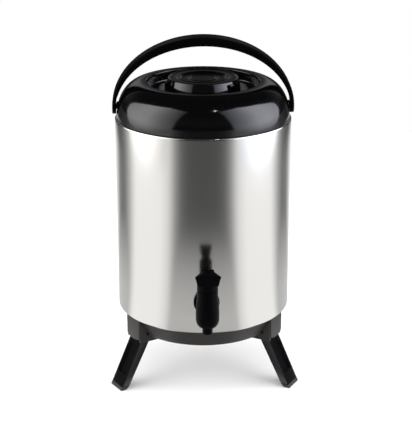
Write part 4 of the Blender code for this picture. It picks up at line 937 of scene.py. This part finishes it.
# %% foot pads
PAD_TOP, PAD_ROUND, FOOT_CHAMFER = 0.005, 0.0006, 0.003
SOLE_GROOVES = (-0.008, 0.0, 0.008)
SOLE_GROOVE_HALF, SOLE_GROOVE_DEEP, SOLE_GROOVE_ROUND = 0.0008, 0.0009, 0.0003
SOLE_START, SOLE_END = 0.10, 0.16


def foot_pad():
    """A pad for a leg that points along +X."""
    outer, *_, inner = leg_outline(0.0)
    top_outer, *_, top_inner = leg_outline(PAD_TOP)
    outline = [outer, top_outer, top_inner, (inner[0], inner[1] + FOOT_CHAMFER),
               (inner[0] + FOOT_CHAMFER, inner[1])]
    bm = across_leg(plate_from(outline, LEG_WIDTH))
    round_edges(bm, sharp_edges(bm), PAD_ROUND, segments=2)
    for place in SOLE_GROOVES:
        groove = rounded_block((SOLE_START, place - SOLE_GROOVE_HALF, -OVERCUT),
                               (SOLE_END, place + SOLE_GROOVE_HALF, SOLE_GROOVE_DEEP),
                               SOLE_GROOVE_ROUND, segments=2)
        bm = combined(bm, groove, "DIFFERENCE")
    return bm


for label, turn in TURNS.items():
    add_piece(f"{label}_pad", moved(foot_pad(), turn), f"{label}_leg", "black_rubber", f"{label}_foot")

# %% [markdown]
# ## Tap
# The tap's housing is an upright bowl with a nozzle below and a barrel above, on a shank that goes through
# the wall. Upright and lying parts are turned on their own. The bowl's lower half is an arc, worked out as
# the dome was.

# %% bowl and shank of the tap
TAP_AXIS = 0.166
TAP_FOOT, BOWL_TOP, SHOULDER_TOP, CAP_SEAT, TAP_TOP = 0.135, 0.162, 0.180, 0.190, 0.198
BOWL_RADIUS, BOWL_ROUND, BOWL_STEPS, WAIST_RADIUS = 0.0160, 0.013, 12, 0.0142
TAP_BARREL_RADIUS, TAP_WALL = 0.0119, 0.0026
NOZZLE_FOOT, NOZZLE_RADIUS = 0.126, 0.0070
SHANK_START, SHANK_RADIUS = 0.0863, 0.0105
FLANGE_BACK, FLANGE_FRONT, FLANGE_ROUND_RADIUS, TAP_NECK_RADIUS = 0.1286, 0.1326, 0.018, 0.0115

bowl_arc = []
for step in range(1, BOWL_STEPS + 1):
    turn = math.pi / 2 * step / BOWL_STEPS
    bowl_arc.append((NOZZLE_RADIUS + (BOWL_RADIUS - NOZZLE_RADIUS) * math.sin(turn),
                     TAP_FOOT + BOWL_ROUND * (1 - math.cos(turn)), 0))
bowl = turned([(0, NOZZLE_FOOT, 0), (NOZZLE_RADIUS, NOZZLE_FOOT, 0.0006), (NOZZLE_RADIUS, TAP_FOOT, 0.0005)]
              + bowl_arc
              + [(BOWL_RADIUS, BOWL_TOP, 0.006), (WAIST_RADIUS, SHOULDER_TOP, 0.005),
                 (WAIST_RADIUS, CAP_SEAT, 0.0004), (TAP_BARREL_RADIUS, CAP_SEAT, 0),
                 (TAP_BARREL_RADIUS, TAP_TOP, 0.0005), (0, TAP_TOP, 0)], sides=96)
shank = turned([(0, SHANK_START, 0), (SHANK_RADIUS, SHANK_START, 0.0008), (SHANK_RADIUS, FLANGE_BACK, 0),
                (FLANGE_ROUND_RADIUS, FLANGE_BACK, 0), (FLANGE_ROUND_RADIUS, FLANGE_FRONT, 0.0014),
                (TAP_NECK_RADIUS, FLANGE_FRONT, 0.0012), (TAP_NECK_RADIUS, TAP_AXIS - TAP_WALL, 0),
                (0, TAP_AXIS - TAP_WALL, 0)], sides=64)
print("tap stands out by", round(TAP_AXIS - SHELL_RADIUS, 4), "m")

# %% [markdown]
# Bowl and shank are joined, and the ways for the drink are cut: one down through the valve's seat and the
# nozzle, and one in through the shank.

# %% tap housing
NOZZLE_BORE, SHANK_BORE = 0.0044, 0.007
VALVE_SEAT, VALVE_SEAT_RADIUS = 0.138, 0.0100
BOWL_BORE, BOWL_BORE_FOOT, TAP_BARREL_BORE = 0.0130, 0.144, 0.0093


def at_tap(bm):
    """Move an upright piece from the barrel's axis to the tap's."""
    return moved(bm, Matrix.Translation((0, -TAP_AXIS, 0)))


way_down = turned([(0, NOZZLE_FOOT - OVERCUT, 0), (NOZZLE_BORE, NOZZLE_FOOT - OVERCUT, 0),
                   (NOZZLE_BORE, VALVE_SEAT, 0), (VALVE_SEAT_RADIUS, VALVE_SEAT, 0),
                   (BOWL_BORE, BOWL_BORE_FOOT, 0), (BOWL_BORE, BOWL_TOP, 0),
                   (TAP_BARREL_BORE, SHOULDER_TOP, 0), (TAP_BARREL_BORE, TAP_TOP + OVERCUT, 0),
                   (0, TAP_TOP + OVERCUT, 0)], sides=64)
way_in = rod(SHANK_BORE, SHANK_START - OVERCUT, TAP_AXIS, sides=48)
housing = combined(at_tap(bowl), towards_tap(shank, TAP_HEIGHT), "UNION")
housing = combined(housing, at_tap(way_down), "DIFFERENCE")
housing = combined(housing, towards_tap(way_in, TAP_HEIGHT), "DIFFERENCE")
add_piece("tap_housing", housing, "barrel", "satin_black", "tap_body")

# %% [markdown]
# A screwed cap closes the tap's barrel. Its fluted edge is for the fingers: the ring is turned with many
# sides, and each vertex of the outer wall moves in by a wave of its angle.

# %% fluted cap of the tap
CAP_FOOT, CAP_UNDER, CAP_TOP = 0.1903, 0.1983, 0.2013
CAP_RADIUS, CAP_BORE, CAP_GUIDE = 0.0142, 0.0122, 0.0025
FLUTES, FLUTE_DEPTH = 24, 0.0004
ON_WALL = 1e-5

cap = turned([(CAP_GUIDE, CAP_UNDER, 0), (CAP_BORE, CAP_UNDER, 0), (CAP_BORE, CAP_FOOT, 0),
              (CAP_RADIUS, CAP_FOOT, 0.0004), (CAP_RADIUS, CAP_TOP, 0.0012), (CAP_GUIDE, CAP_TOP, 0)],
             sides=192)
for vert in cap.verts:
    flat = Vector((vert.co.x, vert.co.y))
    if flat.length > CAP_RADIUS - ON_WALL:
        wave = FLUTE_DEPTH * (0.5 + 0.5 * math.cos(FLUTES * math.atan2(flat.y, flat.x)))
        vert.co.xy = flat * (1 - wave / flat.length)
cap = at_tap(cap)
print(FLUTES, "flutes round the cap")

# %% [markdown]
# Two ears on the cap carry the lever's pin. Each is a plate with a round top, and one hole goes through
# both of them.

# %% tap cap with its ears
EAR_INNER, EAR_WIDTH, EAR_RADIUS = 0.0074, 0.0028, 0.0042
EAR_ROOT, EAR_ROUND, EAR_STEPS = 0.0015, 0.0004, 12
LEVER_Y, LEVER_Z = 0.1735, 0.2085
LEVER_PIN_HOLE, LEVER_PIN_REACH = 0.0018, 0.02


def lever_pin_way():
    """The hole for the lever's pin, across the tap."""
    hole = rod(LEVER_PIN_HOLE, -LEVER_PIN_REACH, LEVER_PIN_REACH, sides=24)
    return moved(hole, Matrix.Translation((0, -LEVER_Y, LEVER_Z)) @ Matrix.Rotation(math.pi / 2, 4, "Y"))


ear_side = [(-EAR_RADIUS, CAP_TOP - EAR_ROOT), (EAR_RADIUS, CAP_TOP - EAR_ROOT)]
for step in range(EAR_STEPS + 1):
    turn = math.pi * step / EAR_STEPS
    ear_side.append((EAR_RADIUS * math.cos(turn), LEVER_Z + EAR_RADIUS * math.sin(turn)))
for start in (EAR_INNER, -EAR_INNER - EAR_WIDTH):
    ear = plate_from(ear_side, EAR_WIDTH)
    round_edges(ear, sharp_edges(ear), EAR_ROUND, segments=2)
    cap = combined(cap, stood_up(ear, start, -LEVER_Y, 0), "UNION")
cap = combined(cap, lever_pin_way(), "DIFFERENCE")
add_piece("tap_cap", cap, "barrel", "satin_black", "tap_bonnet")

# %% [markdown]
# The lever flares out like a wing, so that a thumb finds it, and an apron hangs from its tip and hides the
# hinge. The plate is cut from its plan outline and the apron from its front outline. The plate's top is
# inset twice for a shallow dish.

# %% plate and apron of the lever
LEVER_LOW, LEVER_PLATE, LEVER_ROUND = 0.2140, 0.0042, 0.0011
LEVER_TAIL, LEVER_TIP = 0.011, 0.0155
TAIL_HALF, TIP_HALF = 0.0090, 0.0175
FLARE_START = LEVER_TAIL - (LEVER_TAIL + LEVER_TIP) / 3
LEVER_BORDER, LEVER_SLOPE, LEVER_DISH = 0.0012, 0.0010, 0.0006
APRON_FOOT, APRON_THICK, APRON_ROUND, APRON_BACK = 0.2035, 0.003, 0.0009, 0.0003
APRON_TOP_HALF, APRON_FOOT_HALF = 0.0170, 0.0140


def softened(bm, width):
    """Round all the sharp edges of a plate, clamped where they come close to each other."""
    round_edges(bm, sharp_edges(bm), width, clamp=True)
    return bm


plan = [(TAIL_HALF, LEVER_TAIL), (-TAIL_HALF, LEVER_TAIL), (-TAIL_HALF, FLARE_START),
        (-TIP_HALF, -LEVER_TIP), (TIP_HALF, -LEVER_TIP), (TAIL_HALF, FLARE_START)]
lever = softened(plate_from(plan, LEVER_PLATE), LEVER_ROUND)
top = [max(lever.faces, key=lambda face: face.calc_center_median().z)]
bmesh.ops.inset_region(lever, faces=top, thickness=LEVER_BORDER, use_even_offset=True)
bmesh.ops.inset_region(lever, faces=top, thickness=LEVER_SLOPE, depth=-LEVER_DISH, use_even_offset=True)
moved(lever, Matrix.Translation((0, -LEVER_Y, LEVER_LOW)))
apron_top = LEVER_LOW + LEVER_PLATE / 2
front = [(APRON_TOP_HALF, apron_top), (-APRON_TOP_HALF, apron_top),
         (-APRON_FOOT_HALF, APRON_FOOT), (APRON_FOOT_HALF, APRON_FOOT)]
at_tip = Matrix(((1, 0, 0, 0), (0, 0, 1, APRON_BACK - LEVER_Y - LEVER_TIP), (0, 1, 0, 0), (0, 0, 0, 1)))
apron = softened(moved(plate_from(front, APRON_THICK), at_tip), APRON_ROUND)
bmesh.ops.recalc_face_normals(apron, faces=apron.faces[:])
lever = combined(lever, apron, "UNION")
print("lever", round(2 * TIP_HALF, 4), "m wide at its tip")

# %% [markdown]
# Below the plate a hub turns on the pin, and two prongs reach under the head of the stem. Both are plates
# with a round end, drawn from the side.

# %% tap lever
HUB_RADIUS, HUB_HALF, HUB_TOP, HUB_STEPS = 0.0036, 0.0069, 0.0070, 12
PRONG_DROP, PRONG_RADIUS, PRONG_REACH, PRONG_STEPS = 0.0028, 0.0018, 0.0075, 8
PRONG_INNER, PRONG_OUTER = 0.0025, 0.006


def sideways_plate(outline, low, high):
    """A plate drawn in (back, up) from the lever's pin, between two places across the tap."""
    return stood_up(plate_from(outline, high - low), low, -LEVER_Y, LEVER_Z)


hub = []
for step in range(HUB_STEPS + 1):
    turn = math.pi * (1 + step / HUB_STEPS)
    hub.append((HUB_RADIUS * math.cos(turn), HUB_RADIUS * math.sin(turn)))
hub += [(HUB_RADIUS, HUB_TOP), (-HUB_RADIUS, HUB_TOP)]
lever = combined(lever, sideways_plate(hub, -HUB_HALF, HUB_HALF), "UNION")
prong = [(0.0, PRONG_RADIUS - PRONG_DROP), (-HUB_RADIUS / 2, -PRONG_DROP)]
for step in range(PRONG_STEPS + 1):
    turn = math.pi * (step / PRONG_STEPS - 0.5)
    prong.append((PRONG_REACH + PRONG_RADIUS * math.cos(turn), -PRONG_DROP + PRONG_RADIUS * math.sin(turn)))
for low, high in ((PRONG_INNER, PRONG_OUTER), (-PRONG_OUTER, -PRONG_INNER)):
    lever = combined(lever, sideways_plate(prong, low, high), "UNION")
lever = combined(lever, lever_pin_way(), "DIFFERENCE")
add_piece("tap_wing", lever, "lever", "satin_black", "tap_lever")

# %% [markdown]
# A wound spring inside the cap closes the valve. It is a round wire, spun while it climbs, as the threads
# were. Pressing the lever lifts the stem and squeezes the spring from below.

# %% tap spring
SPRING_LOW, SPRING_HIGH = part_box("tap_spring")
SPRING_RADIUS, WIRE_RADIUS, WIRE_SIDES = 0.005, 0.0006, 10
SPRING_TURNS, SPRING_STEPS = 7, 24

spring = bmesh.new()
bmesh.ops.create_circle(spring, cap_ends=True, segments=WIRE_SIDES, radius=WIRE_RADIUS)
wire_start = Matrix.Translation((SPRING_RADIUS, 0, SPRING_LOW.z + WIRE_RADIUS))
moved(spring, wire_start @ Matrix.Rotation(math.pi / 2, 4, "X"))
wire_rise = SPRING_HIGH.z - SPRING_LOW.z - 2 * WIRE_RADIUS
bmesh.ops.spin(spring, geom=spring.faces[:], cent=(0, 0, 0), axis=UP, angle=FULL_TURN * SPRING_TURNS,
               steps=SPRING_TURNS * SPRING_STEPS, dvec=(0, 0, wire_rise / SPRING_TURNS / SPRING_STEPS))
bmesh.ops.recalc_face_normals(spring, faces=spring.faces[:])
coil = add_piece("tap_spring_coil", at_tap(spring), "barrel", "bright_steel", "tap_spring")
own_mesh(coil)

# %% [markdown]
# ## Floor, light and background
# The picture was taken on white, between two large soft boxes. The dispenser stands on a wide sheet of white
# paper, which is one large face.

# %% floor
FLOOR_HALF = 8.0

grid = bmesh.new()
bmesh.ops.create_grid(grid, x_segments=1, y_segments=1, size=FLOOR_HALF)
ground = bpy.data.meshes.new("floor")
grid.to_mesh(ground)
grid.free()
floor = bpy.data.objects.new("floor", ground)
bpy.context.scene.collection.objects.link(floor)
print("floor", 2 * FLOOR_HALF, "m wide")

# %% [markdown]
# Steel shows whatever stands round it. Here it shows the soft boxes, and the bright floor in front of them,
# as two tall bright bands. Between them it shows the dark room behind the camera, and close by the white
# sheet. A whole studio could be built, but ramps are easier to tune. One gives the glow by the direction
# from the barrel, from straight in front (0) to straight behind (1), and others give it by the distance.

# %% ramps round the barrel
def ramp_of(tree, value, stops):
    """A ramp through (place, glow) stops, over a value from 0 to 1."""
    ramp = add(tree, "ShaderNodeValToRGB", {"Fac": value})
    marks = ramp.color_ramp.elements
    while len(marks) < len(stops):
        marks.new(0.5)
    for mark, (place, glow) in zip(marks, stops):
        mark.position, mark.color = place, (glow, glow, glow, 1.0)
    return ramp.outputs["Color"]


def reach_along(tree, place, direction):
    """How far a place lies along a direction."""
    reach = add(tree, "ShaderNodeVectorMath", {0: place, 1: direction}, operation="DOT_PRODUCT")
    return reach.outputs["Value"]


def turn_of(tree, place):
    """How far a place or a ray lies round the barrel's axis: 0 in front, 1 behind, alike on both sides."""
    front, side = reach_along(tree, place, -AHEAD), reach_along(tree, place, RIGHT)
    angle = reckon(tree, "ABSOLUTE", reckon(tree, "ARCTAN2", side, front))
    return reckon(tree, "DIVIDE", angle, math.pi)


def from_axis(tree):
    """A spot on a stage surface, measured from the barrel's axis."""
    where = add(tree, "ShaderNodeTexCoord", {}).outputs["Object"]
    return add(tree, "ShaderNodeVectorMath", {0: where, 1: AXIS}, operation="SUBTRACT").outputs["Vector"]


def bare_tree(owner):
    """The emptied node tree of a material or a world."""
    owner.use_nodes = True
    owner.node_tree.nodes.clear()
    return owner.node_tree


# %% [markdown]
# For the camera and for soft light the floor is plain matt paper, and far off it turns into pure white, so
# that no horizon shows. For mirror rays it glows as the room would. That glow is the room's by direction,
# which fades out far behind the dispenser, or the sheet's by distance, whichever is brighter. Close to the
# barrel the sheet's glow is held low: a painted shadow of the dispenser, which only mirror rays see.

# %% floor paper
ROOM = ((0.0, 0.08), (0.10, 0.09), (0.15, 0.14), (0.19, 0.32), (0.24, 0.84), (0.30, 1.05), (0.52, 1.05),
        (0.60, 0.45), (0.66, 0.18), (0.74, 0.22), (0.84, 0.8))
ROOM_GLOW = 1.28
SHEET_REACH = 1.2
# The sheet's glow is low within about 0.2 m of the axis: a painted shadow of the dispenser on the paper, for
# mirror rays only.
SHEET_GLOW_WITH_PAINTED_SHADOW = ((0.0, 0.14), (0.09, 0.22), (0.13, 0.50), (0.18, 0.68), (0.34, 0.72), (0.62, 0.40), (0.92, 0.0))
ROOM_REACH = 2.4
ROOM_FADE = ((0.60, 1.0), (0.74, 0.10))
ROOM_FRONT = ((0.66, 1.0), (0.78, 0.0))
HORIZON = ((0.30, 0.0), (0.60, 1.0))

paper = bpy.data.materials.new("paper_white_matt")
tree = bare_tree(paper)
path = add(tree, "ShaderNodeLightPath", {}).outputs
spot = from_axis(tree)
away = add(tree, "ShaderNodeVectorMath", {0: spot}, operation="LENGTH").outputs["Value"]
near, far = reckon(tree, "DIVIDE", away, SHEET_REACH), reckon(tree, "DIVIDE", away, ROOM_REACH)
turn = turn_of(tree, spot)
room = reckon(tree, "MULTIPLY", ramp_of(tree, turn, ROOM), ROOM_GLOW)
lit = reckon(tree, "MAXIMUM", ramp_of(tree, far, ROOM_FADE), ramp_of(tree, turn, ROOM_FRONT))
glow = reckon(tree, "MAXIMUM", reckon(tree, "MULTIPLY", room, lit), ramp_of(tree, near, SHEET_GLOW_WITH_PAINTED_SHADOW))
mirrored = add(tree, "ShaderNodeEmission", {"Strength": glow}).outputs["Emission"]
matt = add(tree, "ShaderNodeBsdfDiffuse", {"Color": linear("#FAFAFA")}).outputs["BSDF"]
white = add(tree, "ShaderNodeEmission", {"Strength": 1.0}).outputs["Emission"]
distant = reckon(tree, "MULTIPLY", path["Is Camera Ray"], ramp_of(tree, far, HORIZON))
plain = add(tree, "ShaderNodeMixShader", {0: distant, 1: matt, 2: white}).outputs["Shader"]
mixed = add(tree, "ShaderNodeMixShader", {0: path["Is Glossy Ray"], 1: plain, 2: mirrored}).outputs["Shader"]
add(tree, "ShaderNodeOutputMaterial", {"Surface": mixed})
ground.materials.append(paper)
print("floor paper with", len(tree.nodes), "nodes")

# %% [markdown]
# A soft box has two jobs, and they are easier to tune apart. The first is to light the matt surfaces, and a
# plain area lamp on each side does that. Neither the camera nor mirror rays see it.

# %% soft box lamps
BOX_DISTANCE = 1.3
BOX_HEIGHT = 0.62
BOX_SIZE = (1.75, 1.2)
BOX_WATTS = 24.0
BOX_TURN = math.radians(76)
SIDES = {"left": -1, "right": 1}


def towards(side, turn):
    """Direction from the barrel that is turned by an angle from the camera, to one side."""
    return -AHEAD * math.cos(turn) + RIGHT * side * math.sin(turn)


for label, side in SIDES.items():
    box = bpy.data.lights.new(f"soft_box_{label}", "AREA")
    box.shape, box.size, box.size_y, box.energy = "RECTANGLE", *BOX_SIZE, BOX_WATTS
    lamp = bpy.data.objects.new(f"soft_box_{label}", box)
    lamp.location = AXIS + towards(side, BOX_TURN) * BOX_DISTANCE + UP * BOX_HEIGHT
    lamp.rotation_euler = towards(side, BOX_TURN).to_track_quat("Z", "Y").to_euler()
    lamp.visible_camera = lamp.visible_glossy = False
    bpy.context.scene.collection.objects.link(lamp)
    print("soft box", label, "at", tuple(round(value, 2) for value in lamp.location))

# %% [markdown]
# The second job is to be seen in the black gloss of the shoulder. A curved sheet in the same place is seen
# by mirror rays alone. It is a grid, bent round the barrel. Its lower and upper edges change with the angle.

# %% shape of the soft box sheets
BOX_EDGES = ((26, 1.70, 1.78), (38, 0.40, 1.85), (46, 0.15, 1.88), (60, 0.12, 1.92), (92, 0.12, 1.40),
             (100, 0.13, 1.22), (106, 0.17, 1.08), (110, 0.25, 1.00), (114, 0.36, 0.90), (117, 0.52, 0.75))
BOX_COLUMNS, BOX_ROWS = 48, 8


def between(table, value):
    """Interpolate the rows of a table over its first column."""
    for near_row, far_row in zip(table, table[1:]):
        if value <= far_row[0]:
            share = (value - near_row[0]) / (far_row[0] - near_row[0])
            return [a + (b - a) * share for a, b in zip(near_row[1:], far_row[1:])]
    return table[-1][1:]


def bent_sheet(name, side):
    """A mesh of the sheet on one side: a unit grid whose x becomes an angle and whose y becomes a height."""
    grid = bmesh.new()
    bmesh.ops.create_grid(grid, x_segments=BOX_COLUMNS, y_segments=BOX_ROWS, size=0.5)
    first, last = BOX_EDGES[0][0], BOX_EDGES[-1][0]
    for vert in grid.verts:
        turn = first + (last - first) * (vert.co.x + 0.5)
        foot, top = between(BOX_EDGES, turn)
        height = foot + (top - foot) * (vert.co.y + 0.5)
        vert.co = AXIS + towards(side, math.radians(turn)) * BOX_DISTANCE + UP * height
    cloth = bpy.data.meshes.new(name)
    grid.to_mesh(cloth)
    grid.free()
    return cloth


print("sheets from", BOX_EDGES[0][0], "to", BOX_EDGES[-1][0], "degrees beside the camera")

# %% [markdown]
# A soft box is brightest near its middle. So the glow of a sheet fades towards the camera, towards the back
# and towards the foot. The right one is a little brighter and cooler than the left one.

# %% soft box sheets
BOX_DIM = {"From Min": 0.06, "From Max": 0.42, "To Min": 0.40, "To Max": 1.0}
BOX_FADE = ((0.13, 0.08), (0.20, 0.22), (0.30, 0.52), (0.42, 1.0), (0.50, 0.95), (0.57, 0.72), (0.63, 0.52))
BOX_GLOWS = {"left": 3.9, "right": 5.3}
BOX_TINTS = {"left": "#FFFDFC", "right": "#F1F4FF"}


def diffuser_cloth(label):
    """The glowing cloth of one sheet."""
    cloth = bpy.data.materials.new(f"diffuser_cloth_{label}")
    tree = bare_tree(cloth)
    spot = from_axis(tree)
    rise = add(tree, "ShaderNodeSeparateXYZ", {"Vector": spot}).outputs["Z"]
    dim = add(tree, "ShaderNodeMapRange", {"Value": rise, **BOX_DIM}).outputs["Result"]
    fade = ramp_of(tree, turn_of(tree, spot), BOX_FADE)
    strength = reckon(tree, "MULTIPLY", reckon(tree, "MULTIPLY", fade, BOX_GLOWS[label]), dim)
    lit = add(tree, "ShaderNodeEmission", {"Color": linear(BOX_TINTS[label]), "Strength": strength})
    add(tree, "ShaderNodeOutputMaterial", {"Surface": lit.outputs["Emission"]})
    return cloth


for label, side in SIDES.items():
    mesh = bent_sheet(f"box_sheet_{label}", side)
    mesh.materials.append(diffuser_cloth(label))
    sheet = bpy.data.objects.new(f"box_sheet_{label}", mesh)
    sheet.visible_camera = sheet.visible_diffuse = sheet.visible_shadow = False
    bpy.context.scene.collection.objects.link(sheet)
    print("sheet", label, len(mesh.polygons), "faces")

# %% [markdown]
# A small modelling lamp hangs in front, high up and to the right. Only gloss shows it, as one point of light
# on the black shoulder.

# %% modelling lamp
LAMP_TURN, LAMP_HEIGHT = math.radians(21), 2.0
LAMP_RADIUS, LAMP_WATTS = 0.05, 2.5

bulb = bpy.data.lights.new("modelling_lamp", "POINT")
bulb.shadow_soft_size, bulb.energy = LAMP_RADIUS, LAMP_WATTS
lamp = bpy.data.objects.new("modelling_lamp", bulb)
lamp.location = AXIS + towards(1, LAMP_TURN) * BOX_DISTANCE + UP * LAMP_HEIGHT
lamp.visible_camera = lamp.visible_diffuse = False
bpy.context.scene.collection.objects.link(lamp)
print("modelling lamp at", tuple(round(value, 2) for value in lamp.location))

# %% [markdown]
# The background is white for the camera and for soft light. For mirror rays it is a dark room with two pale
# walls, to the left and to the right behind the dispenser, which put a soft sheen on the black pieces.

# %% background
ROOM_WHITE = 1.0
ROOM_DARK = 0.02
WALL_GLOW = 0.42
WALL_TURN = ((0.72, 0.1), (0.79, 0.2), (0.86, 0.85), (0.93, 1.0), (0.97, 0.75), (0.985, 0.25), (1.0, 0.05))
WALL_RISE = ((0.0, 0.0), (0.08, 0.0), (0.20, 1.0), (0.30, 1.0), (0.44, 0.45), (0.56, 0.0))

world = bpy.data.worlds.new("white_studio")
bpy.context.scene.world = world
tree = bare_tree(world)
path = add(tree, "ShaderNodeLightPath", {}).outputs
direction = add(tree, "ShaderNodeTexCoord", {}).outputs["Generated"]
level = add(tree, "ShaderNodeSeparateXYZ", {"Vector": direction}).outputs["Z"]
around = ramp_of(tree, turn_of(tree, direction), WALL_TURN)
pale_walls = reckon(tree, "MULTIPLY", around, ramp_of(tree, level, WALL_RISE))
mirrored = spread(tree, pale_walls, ROOM_DARK, WALL_GLOW)
strength = blend(tree, "FLOAT", path["Is Glossy Ray"], ROOM_WHITE, mirrored)
surround = add(tree, "ShaderNodeBackground", {"Color": linear("#FFFFFF"), "Strength": strength})
add(tree, "ShaderNodeOutputWorld", {"Surface": surround.outputs["Background"]})
bpy.context.scene.view_settings.view_transform = "Standard"
print("background with", len(tree.nodes), "nodes")
